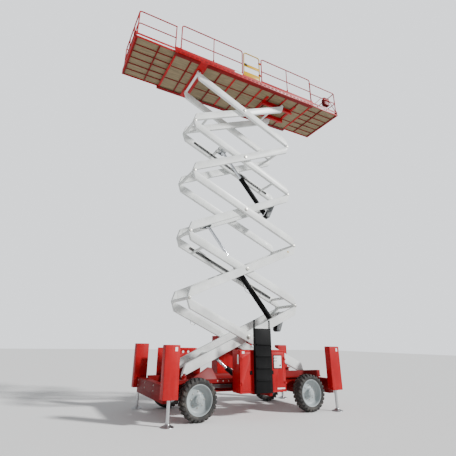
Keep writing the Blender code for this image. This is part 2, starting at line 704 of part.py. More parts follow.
def ladder():
    """A channel of two stiles and a front sheet, with treads, and a hand loop on each stile."""
    front = -(SIDE_Y[1] + 0.10)
    back = -(SIDE_Y[1] + CLEAR)
    left, right = LADDER_X
    stile, sheet = 0.025, front + 0.012
    channel = [(left, back), (left, front), (right, front), (right, back),
               (right - stile, back), (right - stile, sheet), (left + stile, sheet), (left + stile, back)]
    pieces = [flat(channel, LADDER_Z, "Z")]
    for x in (left + stile / 2, right - stile / 2):
        low = LADDER_Z[1] - 0.05
        for y in (back - 0.02, front + 0.03):
            pieces.append(rod((x, y, low), (x, y, LOOP_TOP - 0.008), 0.010))
        pieces.append(rod((x, front + 0.018, LOOP_TOP), (x, back - 0.008, LOOP_TOP), 0.011))
    count = int((LADDER_Z[1] - LADDER_Z[0]) / RUNG_STEP)
    for index in range(1, count):
        z = LADDER_Z[0] + RUNG_STEP * index
        pieces.append(block((left + 0.03, right - 0.03), (front - 0.02, front + 0.006), (z, z + 0.02)))
    return fuse(pieces)


node("access_ladder", ladder(), "chassis", BLACK)

# ---------------------------------------------------------------- axles, knuckles and wheels
PAD_Y = (RAIL_IN - 0.02, RAIL_IN + RAIL_WEB)
KNUCKLE_HALF = 0.060


def axle(x, steered):
    """A beam axle with its gear housing off the middle, hung under the rails."""
    reach = KINGPIN_Y - 0.055 if steered else TYRE_IN + 0.155
    pieces = [rod((x, -reach, WHEEL_R), (x, reach, WHEEL_R), AXLE_R if steered else SPINDLE_R)]
    if not steered:
        pieces.append(rod((x, -KINGPIN_Y, WHEEL_R), (x, KINGPIN_Y, WHEEL_R), AXLE_R))
    pieces.append(rod((x, 0.20, WHEEL_R), (x, 0.42, WHEEL_R), 0.135, 12))
    for span in both(PAD_Y):
        pieces.append(block((x - 0.11, x + 0.11), span, (WHEEL_R - 0.02, RAIL_LOW - CLEAR)))
    if steered:
        for side in (-1, 1):
            for edge in (-1, 1):
                z = sorted((WHEEL_R + edge * (KNUCKLE_HALF + 0.003), WHEEL_R + edge * (KNUCKLE_HALF + 0.025)))
                y = sorted((side * (reach - 0.04), side * (KINGPIN_Y + 0.05)))
                pieces.append(block((x - 0.05, x + 0.05), y, z))
            pieces.append(block((x - 0.05, x + 0.05), sorted((side * (reach - 0.04), side * (reach + 0.004))),
                                (WHEEL_R - KNUCKLE_HALF - 0.01, WHEEL_R + KNUCKLE_HALF + 0.01)))
    holes = []
    if steered:
        for side in (-1, 1):
            place = (x, side * KINGPIN_Y, WHEEL_R - 0.2)
            hole = rod(place, (x, side * KINGPIN_Y, WHEEL_R + 0.2), (KINGPIN_R + RUN) / cos(pi / ROUND))
            holes.append(half_turned(hole, place, "Z", ROUND))
    return fuse(pieces, holes)


def knuckle(x, side):
    """A steering knuckle: boss, kingpin and spindle."""
    y = side * KINGPIN_Y
    return fuse([
        rod((x, y, WHEEL_R - KNUCKLE_HALF), (x, y, WHEEL_R + KNUCKLE_HALF), 0.046),
        rod((x, y, WHEEL_R - KNUCKLE_HALF - 0.030), (x, y, WHEEL_R + KNUCKLE_HALF + 0.030), KINGPIN_R),
        rod((x, y, WHEEL_R), (x, side * (TYRE_IN + 0.155), WHEEL_R), SPINDLE_R),
    ])


def tyre():
    """A tyre's closed ring about the origin: outer side at +y."""
    half = (TYRE_OUT - TYRE_IN) / 2
    tread = half - 0.035
    profile = [(RIM_R, -half + 0.02), (WHEEL_R - 0.05, -half), (WHEEL_R, -tread),
               (WHEEL_R, tread), (WHEEL_R - 0.05, half), (RIM_R, half - 0.02)]
    return fuse([turned(profile, 24)])


def rim():
    """A dished disc wheel with a deep hub, bored from inside: outer side at +y."""
    half = (TYRE_OUT - TYRE_IN) / 2 - 0.04
    seat = RIM_R - CLEAR
    hole = (SPINDLE_R + RUN) / cos(pi / 12)
    depth = TYRE_IN + 0.155 + RUN * 2 - (WHEEL_Y - half)
    profile = [(seat, -half), (seat, half), (seat - 0.045, half - 0.05), (0.11, half - 0.075),
               (0.075, half - 0.015), (0.0, half - 0.005), (0.0, -half + depth), (hole, -half + depth),
               (hole, -half + 0.01), (0.080, -half + 0.01), (0.095, half - 0.10), (seat - 0.045, half - 0.075)]
    return fuse([turned(profile, 12)])


node("rear_axle", axle(-WHEEL_X, False), "chassis", DARK_RED)
node("steering_axle", axle(WHEEL_X, True), "chassis", DARK_RED)
WHEEL_Y = (TYRE_IN + TYRE_OUT) / 2
for side, side_name in ((-1, "near"), (1, "far")):
    carrier = side_name + "_steering_knuckle"
    body(carrier, (WHEEL_X, side * KINGPIN_Y, WHEEL_R), "chassis")
    node(carrier, knuckle(WHEEL_X, side), carrier, IRON)
    for x, end, owner in ((-WHEEL_X, "rear", "chassis"), (WHEEL_X, "front", carrier)):
        name = f"{side_name}_{end}"
        centre = (x, side * WHEEL_Y, WHEEL_R)
        body(name + "_wheel", centre, owner)
        turn = (0, 0, pi if side < 0 else 0)
        node(name + "_tyre", tyre(), name + "_wheel", RUBBER, (centre, turn))
        node(name + "_rim", rim(), name + "_wheel", GREY, (centre, turn))

# ---------------------------------------------------------------- outriggers


def outrigger_box(x, y):
    """A tall box with the jack's sleeve bored up through it."""
    half_x, half_y = JACK_BOX[0] / 2, JACK_BOX[1] / 2
    casing = block((x - half_x, x + half_x), (y - half_y, y + half_y), JACK_BOX_Z)
    sleeve = rod((x, y, JACK_BOX_Z[0] - 0.01), (x, y, JACK_BOX_Z[1] - 0.06), LEG_R + RUN)
    return fuse([casing], [sleeve])


def jack_leg(x, y):
    """A plunger with a dished foot pad."""
    top = JACK_BOX_Z[0] + 0.55
    return fuse([rod((x, y, PAD_LIFT + 0.05), (x, y, top), LEG_R),
                 rod((x, y, PAD_LIFT), (x, y, PAD_LIFT + 0.012), PAD_R, 12),
                 rod((x, y, PAD_LIFT + 0.010), (x, y, PAD_LIFT + 0.075), PAD_R * 0.85, 12, end_radius=0.055)])


for side, side_name in ((-1, "near"), (1, "far")):
    for end, end_name in ((-1, "left"), (1, "right")):
        x, y = end * JACK_X, side * JACK_Y
        node(f"{side_name}_{end_name}_outrigger", outrigger_box(x, y), "chassis", RED)
        leg = f"{side_name}_{end_name}_jack_leg"
        body(leg, (x, y, 0), "chassis")
        node(leg, jack_leg(x, y), leg, STEEL)

# ---------------------------------------------------------------- platform
SLAB_Z = (DECK_FLOOR - SLAB, DECK_FLOOR)
END_Z = (UNDER_Z[1] + CLEAR, UNDER_Z[1] + CLEAR + END_PLATE)
BEAM_IN = DECK_HALF - SIDE_BEAM
body("platform", (-HALF_SPAN, 0, TOP_PIN_Z), f"stage_{STAGES}_outer_arms")


def main_deck():
    """Floor slab, side beams with toe boards, under-frame, pivot lugs and the channels of the top rollers."""
    x0, x1 = DECK_X
    pieces = [block(DECK_X, (-SLAB_HALF, SLAB_HALF), SLAB_Z)]
    for side in (-1, 1):
        beam = sorted((side * BEAM_IN, side * DECK_HALF))
        pieces.append(block(DECK_X, beam, (UNDER_Z[0] + 0.03, DECK_FLOOR)))
        toe = sorted((side * (DECK_HALF - TOE_BOARD), side * DECK_HALF))
        toe_spans = [(x0, GATE_X[0] - 0.01), (GATE_X[1] + 0.06, x1)] if side < 0 else [DECK_X]
        for span in toe_spans:
            pieces.append(block(span, toe, (DECK_FLOOR - 0.01, TOE_TOP)))
        # outside the middle bay the side rails of the drawn-in ends pass between slab and beam
        pieces.append(block((-0.9, 1.2), sorted((side * (SLAB_HALF - 0.01), side * (BEAM_IN + 0.01))), SLAB_Z))
        # channel of the top rollers
        low_z = TOP_PIN_Z - ROLLER_R - RUN
        top_z = TOP_PIN_Z + ROLLER_R + RUN
        channel = (HALF_SPAN - 0.80, HALF_SPAN + 0.60)
        web = sorted((side * (DECK_ROLLER_Y[0] - 0.024), side * (DECK_ROLLER_Y[0] - 0.006)))
        flange = sorted((side * (DECK_ROLLER_Y[0] - 0.024), side * (DECK_ROLLER_Y[1] + 0.008)))
        pieces.append(block(channel, web, (low_z - 0.014, UNDER_Z[0] + 0.01)))
        pieces.append(block(channel, flange, (low_z - 0.014, low_z)))
        pieces.append(block(channel, flange, (top_z, UNDER_Z[0] + 0.01)))
        # pivot lug between the forks of the outer arms
        tongue = sorted((side * (OUTER_Y - TONGUE / 2), side * (OUTER_Y + TONGUE / 2)))
        pin = (-HALF_SPAN, TOP_PIN_Z)
        pieces.append(flat(lug_outline((pin[0] + 0.03, UNDER_Z[0] + 0.01), NOSE_R, pin, NOSE_R), tongue))
    ribs = 6
    for index in range(ribs):
        x = x0 + 0.06 + (x1 - x0 - 0.12) * index / (ribs - 1)
        pieces.append(block((x - 0.03, x + 0.03), (-DECK_HALF + 0.005, DECK_HALF - 0.005), (UNDER_Z[0] + 0.02, UNDER_Z[1])))
    pieces.append(block((-HALF_SPAN - 0.10, -HALF_SPAN + 0.16), (-DECK_HALF + 0.01, DECK_HALF - 0.01), UNDER_Z))
    pieces.append(block((HALF_SPAN - 0.80, HALF_SPAN - 0.70), (-0.6, 0.6), UNDER_Z))
    pieces.append(block((HALF_SPAN + 0.50, HALF_SPAN + 0.60), (-0.6, 0.6), UNDER_Z))
    # posts that tie the under-frame to the slab, clear of the sliding ends
    pieces.append(block((-0.9, 1.2), (-DECK_HALF + 0.01, DECK_HALF - 0.01), (UNDER_Z[1] - 0.02, SLAB_Z[0] + 0.01)))
    holes = [bore(-HALF_SPAN, TOP_PIN_Z, (side * 0.5, side * 0.66), PIN_R) for side in (-1, 1)]
    return fuse(pieces, holes)


node("main_deck", main_deck(), "platform", RED)
RAIL_Y = DECK_HALF - TOE_BOARD - RAIL_TUBE - 0.002


def rail_panel(x, y, foot, top, mid, posts=(), extra=((), ())):
    """A hooped guard rail along X: hoop, middle rail, posts between, and extra pieces with their holes."""
    hoop = rounded([(x[0], y, foot), (x[0], y, top), (x[1], y, top), (x[1], y, foot)], 0.09)
    pieces = [tube(hoop, RAIL_TUBE), tube([(x[0], y, mid), (x[1], y, mid)], RAIL_TUBE * 0.9)]
    for post in posts:
        pieces.append(tube([(post, y, foot), (post, y, top - RAIL_TUBE / 3)], RAIL_TUBE * 0.8))
    return fuse([*pieces, *extra[0]], extra[1])


FOOT_Z = DECK_FLOOR + CLEAR
RAIL_X = (-2.660, 2.940)


def gate_sleeves():
    """Two sleeves that the gate's hinge tube turns in, and their bores."""
    pieces, holes = [], []
    for z in (FOOT_Z + 0.27, RAIL_TOP_Z - 0.28):
        half = RAIL_TUBE + 0.008
        pieces.append(block((GATE_X[1] - half, GATE_X[1] + 0.10), (-RAIL_Y - half, -RAIL_Y + half), (z, z + 0.05)))
        hole = rod((GATE_X[1], -RAIL_Y, z - 0.01), (GATE_X[1], -RAIL_Y, z + 0.06),
                   (RAIL_TUBE + RUN) / cos(pi / 12), 12)
        holes.append(half_turned(hole, (GATE_X[1], -RAIL_Y, 0), "Z", 12))
    return pieces, holes


HEIGHTS = (FOOT_Z, RAIL_TOP_Z, RAIL_MID_Z)
node("near_left_rail", rail_panel((RAIL_X[0], GATE_X[0] - 0.04), -RAIL_Y, *HEIGHTS, (-1.45,)), "platform", RED)
node("near_right_rail", rail_panel((GATE_X[1] + 0.10, RAIL_X[1]), -RAIL_Y, *HEIGHTS, (1.75,), gate_sleeves()),
     "platform", RED)
node("far_rail", rail_panel(RAIL_X, RAIL_Y, *HEIGHTS, (-0.8, 1.1)), "platform", RED)

body("gate", (GATE_X[1], -RAIL_Y, FOOT_Z), "platform")


def gate():
    """A hooped gate with a middle plank and a kick plate."""
    y = -RAIL_Y
    x0, x1 = GATE_X[0] + 0.025, GATE_X[1]
    foot, top = FOOT_Z + 0.02, RAIL_TOP_Z - 0.02
    hoop = rounded([(x0, y, foot), (x0, y, top), (x1, y, top), (x1, y, foot)], 0.09)
    return fuse([tube(hoop, RAIL_TUBE),
                 block((x0 + 0.004, x1 - 0.004), (y - 0.008, y + 0.008), (foot + 0.005, foot + 0.20)),
                 block((x0 + 0.004, x1 - 0.004), (y - 0.008, y + 0.008), (RAIL_MID_Z - 0.06, RAIL_MID_Z + 0.06))])


node("gate", gate(), "gate", YELLOW)


def end_deck(outer, inner):
    """A roll-out deck end: a floor plate with an end board up to its rails."""
    x = sorted((outer, inner))
    toward = 1 if outer < inner else -1
    board = sorted((outer, outer + toward * END_BOARD))
    return fuse([block(x, (-END_HALF, END_HALF), END_Z),
                 block(board, (-END_HALF, END_HALF), (END_Z[0], BOARD_TOP))])


def end_rail(outer, inner):
    """The guard rail round three sides of a roll-out end, with toe boards that pass over the main floor."""
    toward = 1 if outer < inner else -1
    x_end = outer + toward * 0.045
    face = outer + toward * (END_BOARD + CLEAR)
    foot = BOARD_TOP + CLEAR
    pieces = []
    for top, radius in ((END_RAIL_TOP, RAIL_TUBE), (END_RAIL_MID, RAIL_TUBE * 0.9)):
        path = rounded([(inner, -END_RAIL_Y, top), (x_end, -END_RAIL_Y, top), (x_end, END_RAIL_Y, top),
                        (inner, END_RAIL_Y, top)], 0.08)
        pieces.append(tube(path, radius))
    for side in (-1, 1):
        y = side * END_RAIL_Y
        last = inner - toward * 0.02
        pieces.append(tube([(last, y, foot - 0.03), (last, y, END_RAIL_TOP)], RAIL_TUBE * 0.95))
        pieces.append(tube([(x_end, y * 0.985, foot), (x_end, y * 0.985, END_RAIL_TOP)], RAIL_TUBE))
        toe = sorted((y - 0.006, y + 0.006))
        pieces.append(block(sorted((face, inner)), toe, (DECK_FLOOR + 0.010, TOE_TOP + 0.03)))
        pieces.append(block(sorted((face, x_end + toward * 0.012)), (y - 0.02, y + 0.02),
                            (DECK_FLOOR + 0.008, foot + 0.02)))
    return fuse(pieces)


for name, outer, edge in (("left", LEFT_END, DECK_X[0]), ("right", RIGHT_END, DECK_X[1])):
    toward = 1 if outer < 0 else -1
    body(f"{name}_end", (outer, 0, DECK_FLOOR), "platform")
    node(f"{name}_end_deck", end_deck(outer, edge + toward * END_OVERLAP), f"{name}_end", RED)
    node(f"{name}_end_rail", end_rail(outer, edge + toward * 0.04), f"{name}_end", RED)

BOX_X = (RIGHT_END - 0.62, RIGHT_END - 0.34)
CONTROL_Y = -(END_RAIL_Y - RAIL_TUBE * 0.9 - CLEAR)
node("control_box", fuse([block(BOX_X, (CONTROL_Y, CONTROL_Y + 0.16), (END_RAIL_MID - 0.20, END_RAIL_MID + 0.14))]),
     "right_end", DARK_RED)

bpy.context.view_layer.update()
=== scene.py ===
# %% [markdown]
# # A rough-terrain scissor lift, raised
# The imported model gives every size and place. This script adds the looks around it: paint, rubber and steel,
# rounded edges, welds, hoses and fittings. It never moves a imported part.

# %% Load the frame
import math
import bmesh
import bpy
from mathutils import Matrix, Vector


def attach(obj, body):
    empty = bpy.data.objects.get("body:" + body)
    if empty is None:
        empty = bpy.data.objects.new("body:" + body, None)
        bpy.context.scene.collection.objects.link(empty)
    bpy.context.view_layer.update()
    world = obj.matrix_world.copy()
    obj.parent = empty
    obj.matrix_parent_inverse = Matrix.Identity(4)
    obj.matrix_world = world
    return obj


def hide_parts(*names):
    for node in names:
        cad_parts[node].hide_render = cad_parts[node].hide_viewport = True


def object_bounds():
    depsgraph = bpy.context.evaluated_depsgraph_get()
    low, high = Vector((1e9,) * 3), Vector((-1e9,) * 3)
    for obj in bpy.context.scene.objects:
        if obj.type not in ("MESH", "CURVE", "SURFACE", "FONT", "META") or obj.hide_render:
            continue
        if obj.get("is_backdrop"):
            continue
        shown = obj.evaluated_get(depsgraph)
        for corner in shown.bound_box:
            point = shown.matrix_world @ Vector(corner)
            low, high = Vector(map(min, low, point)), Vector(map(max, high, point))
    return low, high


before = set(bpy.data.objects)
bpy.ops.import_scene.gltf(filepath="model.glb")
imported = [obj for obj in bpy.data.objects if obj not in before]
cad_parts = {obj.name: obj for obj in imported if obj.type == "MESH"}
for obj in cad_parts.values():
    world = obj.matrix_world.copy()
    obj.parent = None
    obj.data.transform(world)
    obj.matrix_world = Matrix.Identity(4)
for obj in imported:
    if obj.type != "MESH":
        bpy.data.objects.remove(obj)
low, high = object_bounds()
print("machine", [round(b - a, 3) for a, b in zip(low, high)])

# %% [markdown]
# ## Mesh tools
# Almost everything on this machine is plate, tube or something turned on a lathe. So a handful of helpers each
# give one such solid as a small bmesh, made with Blender's own operators, and `Form` collects them into a piece.
# Sizes are in the machine's own frame, whose middle lies a little left of the origin, so one shift at the end
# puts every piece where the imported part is.

# %% Form: a piece that grows by whole solids
MACHINE = Matrix.Translation((-0.11, 0, 0))
made = {}

class Form:
    """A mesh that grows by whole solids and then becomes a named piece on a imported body."""
    def __init__(self, *parts):
        self.shape = bmesh.new()
        for part in parts:
            self.add(part)

    def add(self, part, place=None):
        if place is not None:
            part.transform(place)
        held = bpy.data.meshes.new("held")
        part.to_mesh(held); part.free()
        self.shape.from_mesh(held)
        bpy.data.meshes.remove(held)
        return self

    def piece(self, name, body, finish, slot=None, replaces=(), crease=32, shift=True):
        if shift:
            self.shape.transform(MACHINE)
        mesh = bpy.data.meshes.new(name)
        self.shape.to_mesh(mesh); self.shape.free()
        mesh.materials.append(finish)
        mesh.shade_smooth()
        mesh.set_sharp_from_angle(angle=math.radians(crease))
        obj = bpy.data.objects.new(name, mesh)
        bpy.context.scene.collection.objects.link(obj)
        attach(obj, body)
        if replaces:
            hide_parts(*replaces)
        made[name] = len(mesh.polygons)
        return obj

print("the machine's middle is at x", MACHINE.translation.x)

# %% Blocks and round bars
def round_edges(shape, edges, width, segments=2):
    bmesh.ops.bevel(shape, geom=list(edges), offset=width, affect="EDGES", segments=segments, profile=0.5,
                    material=-1, clamp_overlap=True)
    return shape

def block(x, y, z, edge=0.003, segments=2):
    """A box between two values on each axis, its edges rounded."""
    shape = bmesh.new()
    bmesh.ops.create_cube(shape, size=1)
    spans = [sorted(span) for span in (x, y, z)]
    for vert in shape.verts:
        vert.co = [span[side > 0] for span, side in zip(spans, vert.co)]
    return round_edges(shape, shape.edges, edge, segments) if edge else shape

def bar(start, end, radius, sides=24, edge=0.0, end_radius=None):
    """A round bar or cone from one point to another, its rims rounded."""
    start, end = Vector(start), Vector(end)
    shape = bmesh.new()
    bmesh.ops.create_cone(shape, cap_ends=True, segments=sides, radius1=radius,
                          radius2=radius if end_radius is None else end_radius, depth=(end - start).length)
    if edge:
        rims = [e for e in shape.edges if abs(e.verts[0].co.z - e.verts[1].co.z) < 1e-6]
        round_edges(shape, rims, edge)
    turn = (end - start).to_track_quat("Z", "Y").to_matrix().to_4x4()
    shape.transform(Matrix.Translation((start + end) / 2) @ turn)
    return shape

def across(x, z, y, radius, sides=24, edge=0.0):
    """A round bar across the machine at (x, z)."""
    return bar((x, min(y), z), (x, max(y), z), radius, sides, edge)

test = block((0, 1), (0, 1), (0, 1), 0.1)
print("a rounded block has", len(test.faces), "faces"); test.free()

# %% Plates
LAID = {"Y": Matrix(((1, 0, 0, 0), (0, 0, -1, 0), (0, 1, 0, 0), (0, 0, 0, 1))),
        "X": Matrix(((0, 0, 1, 0), (1, 0, 0, 0), (0, 1, 0, 0), (0, 0, 0, 1))),
        "Z": Matrix.Identity(4)}

def plate(outline, span, axis="Y", edge=0.003, segments=2):
    """A plate: its outline in the two other axes, its thickness between two values along axis."""
    shape = bmesh.new()
    face = shape.faces.new([shape.verts.new((a, b, 0)) for a, b in outline])
    top = bmesh.ops.extrude_face_region(shape, geom=[face])["geom"]
    raised = [v for v in top if isinstance(v, bmesh.types.BMVert)]
    bmesh.ops.translate(shape, vec=(0, 0, 1), verts=raised)
    shape.transform(LAID[axis])
    number = "XYZ".index(axis)
    for vert in shape.verts:
        vert.co[number] = max(span) if abs(vert.co[number]) > 0.5 else min(span)
    bmesh.ops.recalc_face_normals(shape, faces=shape.faces)
    corners = [e for e in shape.edges if e.calc_face_angle(0) > 0.6]
    return round_edges(shape, corners, edge, segments) if edge else shape

test = plate([(0, 0), (1, 0), (0, 1)], (0, 0.1), edge=0)
print("a plain three-cornered plate has", len(test.faces), "faces"); test.free()

# %% Tubes along a path
def swept(points, radius, sides=12, closed=False):
    """A round tube along a path, with closed ends."""
    curve = bpy.data.curves.new("path", "CURVE")
    curve.dimensions = "3D"
    curve.bevel_depth, curve.bevel_resolution, curve.use_fill_caps = radius, (sides - 4) // 2, True
    spline = curve.splines.new("POLY")
    spline.points.add(len(points) - 1)
    for point, place in zip(spline.points, points):
        point.co = (*place, 1)
    spline.use_cyclic_u = closed
    holder = bpy.data.objects.new("path", curve)
    bpy.context.scene.collection.objects.link(holder)
    mesh = bpy.data.meshes.new_from_object(holder.evaluated_get(bpy.context.evaluated_depsgraph_get()))
    shape = bmesh.new()
    shape.from_mesh(mesh)
    bmesh.ops.remove_doubles(shape, verts=shape.verts, dist=1e-6)
    bpy.data.objects.remove(holder); bpy.data.curves.remove(curve); bpy.data.meshes.remove(mesh)
    return shape

def bent(points, radius, steps=6):
    """A path through points with its inner corners turned to arcs."""
    points = [Vector(p) for p in points]
    path = [points[0]]
    for before, corner, after in zip(points, points[1:], points[2:]):
        come, leave = (before - corner).normalized(), (after - corner).normalized()
        half = come.angle(leave) / 2
        back = radius / math.tan(half)
        centre = corner + (come + leave).normalized() * radius / math.sin(half)
        first, last = ((corner + way * back - centre).normalized() for way in (come, leave))
        path += [centre + first.slerp(last, step / steps) * radius for step in range(steps + 1)]
    return path + [points[-1]]

print("a path with one bend has", len(bent([(0, 0, 0), (1, 0, 0), (1, 1, 0)], 0.1)), "points")

# %% Turned shapes
def turned(profile, steps=48, place=None):
    """A shape turned about the Y axis: profile gives (radius, distance along y)."""
    shape = bmesh.new()
    ring = [shape.verts.new((radius, along, 0)) for radius, along in profile]
    for a, b in zip(ring, ring[1:] + ring[:1]):
        if a.co.x > 1e-6 or b.co.x > 1e-6:
            shape.edges.new((a, b))
    bmesh.ops.spin(shape, geom=list(shape.verts) + list(shape.edges), cent=(0, 0, 0), axis=(0, 1, 0),
                   angle=2 * math.pi, steps=steps, use_merge=True)
    bmesh.ops.remove_doubles(shape, verts=shape.verts, dist=1e-6)
    bmesh.ops.recalc_face_normals(shape, faces=shape.faces)
    if place is not None:
        shape.transform(place)
    return shape

test = turned([(0, 0), (1, 0), (0, 1)])
print("a turned cone has", len(test.faces), "faces"); test.free()

# %% Cuts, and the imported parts' own shapes
def cut(part, *cutters):
    """A solid less others, with an exact boolean."""
    objects = []
    for shape in (part, *cutters):
        mesh = bpy.data.meshes.new("solid")
        shape.to_mesh(mesh); shape.free()
        objects.append(bpy.data.objects.new("solid", mesh))
        bpy.context.scene.collection.objects.link(objects[-1])
    for cutter in objects[1:]:
        step = objects[0].modifiers.new("cut", "BOOLEAN")
        step.operation, step.object = "DIFFERENCE", cutter
    mesh = bpy.data.meshes.new_from_object(objects[0].evaluated_get(bpy.context.evaluated_depsgraph_get()))
    shape = bmesh.new()
    shape.from_mesh(mesh)
    for obj in objects:
        bpy.data.objects.remove(obj)
    return shape

def packed(node, width=0.004, segments=2, sharp=30):
    """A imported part's own shape, merged, its flat faces joined and its hard edges rounded."""
    shape = bmesh.new()
    shape.from_mesh(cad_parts[node].data)
    bmesh.ops.remove_doubles(shape, verts=shape.verts, dist=1e-5)
    bmesh.ops.dissolve_limit(shape, angle_limit=math.radians(1), verts=shape.verts, edges=shape.edges)
    hard = [e for e in shape.edges if len(e.link_faces) == 2 and e.calc_face_angle(0) > math.radians(sharp)]
    round_edges(shape, hard, width, segments)
    shape.transform(MACHINE.inverted())
    return shape

print("packed parts to draw from", len(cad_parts))

# %% [markdown]
# ## Finishes
# Paint on a site machine is never one colour: it chalks in patches, catches dust in streaks, and has the fine
# ripple of sprayed enamel. The shader maths for that is easier to read as plain sums, so `Wire` wraps a node
# socket and lets it be added, multiplied or compared. `Finish` builds any other node from its type, its
# settings and its inputs.

# %% Wire and Finish
class Wire:
    """A node's output that can be used in sums."""
    def __init__(self, finish, socket):
        self.finish, self.socket = finish, socket

    def maths(self, operation, *others):
        return self.finish.node("ShaderNodeMath", {"operation": operation}, dict(enumerate(others)))

    def __add__(self, other): return self.maths("ADD", self, other)
    def __radd__(self, other): return self.maths("ADD", other, self)
    def __sub__(self, other): return self.maths("SUBTRACT", self, other)
    def __rsub__(self, other): return self.maths("SUBTRACT", other, self)
    def __mul__(self, other): return self.maths("MULTIPLY", self, other)
    def __rmul__(self, other): return self.maths("MULTIPLY", other, self)

    def soft(self, start, stop):
        """0 below start, 1 above stop, and a smooth step between them."""
        return self.finish.node("ShaderNodeMapRange", {"interpolation_type": "SMOOTHSTEP"},
                                {0: self, 1: start, 2: stop, 3: 0.0, 4: 1.0})

class Finish:
    """A material whose nodes are made by one method."""
    def __init__(self, name, **constants):
        self.material = bpy.data.materials.new(name)
        self.material.use_nodes = True
        self.tree = self.material.node_tree
        self.shader = self.tree.nodes["Principled BSDF"]
        for key, value in constants.items():
            self.shader.inputs[key.replace("_", " ")].default_value = value
        self.place = self.node("ShaderNodeTexCoord", out="Object")

    def node(self, kind, settings=(), inputs=(), out=0):
        new = self.tree.nodes.new(kind)
        for key, value in dict(settings).items():
            setattr(new, key, value)
        for key, value in dict(inputs).items():
            if isinstance(value, Wire):
                self.tree.links.new(value.socket, new.inputs[key])
            else:
                new.inputs[key].default_value = value
        return Wire(self, new.outputs[out])

    def noise(self, scale, detail=3.0, stretch=(1, 1, 1), roughness=0.55):
        """Noise over the piece, finer as scale grows; stretch squeezes it along an axis."""
        place = self.node("ShaderNodeMapping", {}, {"Vector": self.place, "Scale": stretch})
        return self.node("ShaderNodeTexNoise", {}, {"Vector": place, "Scale": scale, "Detail": detail,
                                                    "Roughness": roughness})

    def mix(self, factor, first, second):
        return self.node("ShaderNodeMix", {"data_type": "RGBA"}, {0: factor, 6: first, 7: second}, out=2)

    def feed(self, **wires):
        for key, wire in wires.items():
            self.tree.links.new(wire.socket, self.shader.inputs[key.replace("_", " ")])
        return self.material

    def bump(self, height, distance, strength=1.0):
        return self.node("ShaderNodeBump", {}, {"Strength": strength, "Distance": distance, "Height": height})

def shade(colour, factor):
    return (*(min(1.0, c * factor) for c in colour), 1.0)

print("a colour at half its strength", shade((0.4, 0.2, 0.1), 0.5))

# %% [markdown]
# ## Paints
# One recipe serves every painted part: enamel with patches of chalking, dust that hangs in vertical streaks,
# small chips down to dark primer, and an orange-peel ripple. Each paint changes its colour, gloss and how
# dirty it is. The object's own coordinates place the pattern, so neighbouring parts don't repeat each other.

# %% Paint recipe
DUST, PRIMER = (0.42, 0.38, 0.32), (0.10, 0.09, 0.085, 1)

def paint(name, colour, gloss, dirt, dust=DUST, chips=0.76, coat=0.04, sheen=0.25):
    f = Finish(name, Metallic=0.0, Coat_Roughness=0.20, IOR=1.45, Specular_IOR_Level=sheen, Coat_Weight=coat)
    patches = f.noise(1.7, 4)
    blotches = f.noise(9, 5, roughness=0.65)
    streaks = f.noise(11, 4, stretch=(1.0, 1.0, 0.12))
    fine = f.noise(85, 3)
    faded = f.mix(patches.soft(0.3, 0.72), shade(colour, 0.86), shade(colour, 1.10))
    mottled = f.mix(blotches.soft(0.35, 0.8) * 0.35, faded, shade(colour, 0.78))
    dusty = (streaks.soft(0.46, 0.78) * 0.7 + blotches.soft(0.55, 0.85) * 0.6) * dirt
    coated = f.mix(dusty, mottled, (*dust, 1))
    chipped = f.noise(38, 5, roughness=0.7).soft(chips, chips + 0.03) * patches.soft(0.45, 0.6)
    colour_out = f.mix(chipped, coated, PRIMER)
    rough = gloss + patches * 0.14 + dusty * 0.35 + fine * 0.06 + chipped * 0.2
    height = fine * 0.35 + f.noise(260, 2) * 0.25 - chipped * 0.6 + f.noise(4, 2) * 1.2
    return f.feed(Base_Color=colour_out, Roughness=rough, Normal=f.bump(height, 0.0012, 0.5))

print("chips show a primer of", PRIMER[:3])

# %% The machine's paints
RED = paint("gloss_red", (0.40, 0.0025, 0.006), 0.32, 0.05, chips=0.80)
# The red at about half strength, for the chassis, axles, control box and the parts under the decks; under the decks
# and side boxes it stands for their shade, painted in.
DARK_RED_AND_SHADE = paint("frame_red_and_painted_shade", (0.19, 0.003, 0.004), 0.34, 0.14, dust=(0.16, 0.09, 0.07), coat=0.01, sheen=0.15)
WHITE = paint("arm_white", (0.80, 0.82, 0.80), 0.34, 0.14, dust=(0.50, 0.49, 0.45), chips=0.80, coat=0.1)
# Dark grey for the brackets: the arms' white in the shade under them, painted in.
SHADE_GREY = paint("bracket_painted_shade", (0.135, 0.145, 0.15), 0.40, 0.30, coat=0.05)
BLACK = paint("satin_black", (0.005, 0.0052, 0.0055), 0.42, 0.03, dust=(0.10, 0.095, 0.09), chips=0.83, coat=0.0,
              sheen=0.12)
YELLOW = paint("gate_yellow", (0.62, 0.36, 0.003), 0.36, 0.06, chips=0.80, sheen=0.12)
GREY = paint("rim_grey", (0.36, 0.40, 0.405), 0.34, 0.24, dust=(0.30, 0.285, 0.26), chips=0.77, coat=0.05)
LABEL = paint("blank_label", (0.86, 0.86, 0.84), 0.30, 0.10, chips=0.88, coat=0.4)
print("paints", [material.name for material in bpy.data.materials])

# %% [markdown]
# ## Metal, rubber and board
# Bare steel is brighter where it slides and browner where it doesn't, so its roughness and colour come from
# stretched noise. Rubber is a very dark grey that goes pale where mud has dried. The deck floors are plywood
# under a brown film, which shows its grain and the joints' stains.

# %% Metals
def metal(name, colour, rough, grain, stain):
    f = Finish(name, Metallic=1.0, Specular_IOR_Level=0.5)
    lines = f.noise(34, 4, stretch=grain)
    spots = f.noise(14, 5, roughness=0.7)
    dull = spots.soft(0.52, 0.8) * stain
    tint = f.mix(lines.soft(0.2, 0.8), shade(colour, 0.86), shade(colour, 1.1))
    rusty = f.mix(dull, tint, (0.16, 0.10, 0.065, 1))
    return f.feed(Base_Color=rusty, Roughness=rough + lines * 0.12 + dull * 0.4, Metallic=1 - dull * 0.7,
                  Normal=f.bump(lines * 0.5 + spots * 0.5, 0.0006, 0.4))

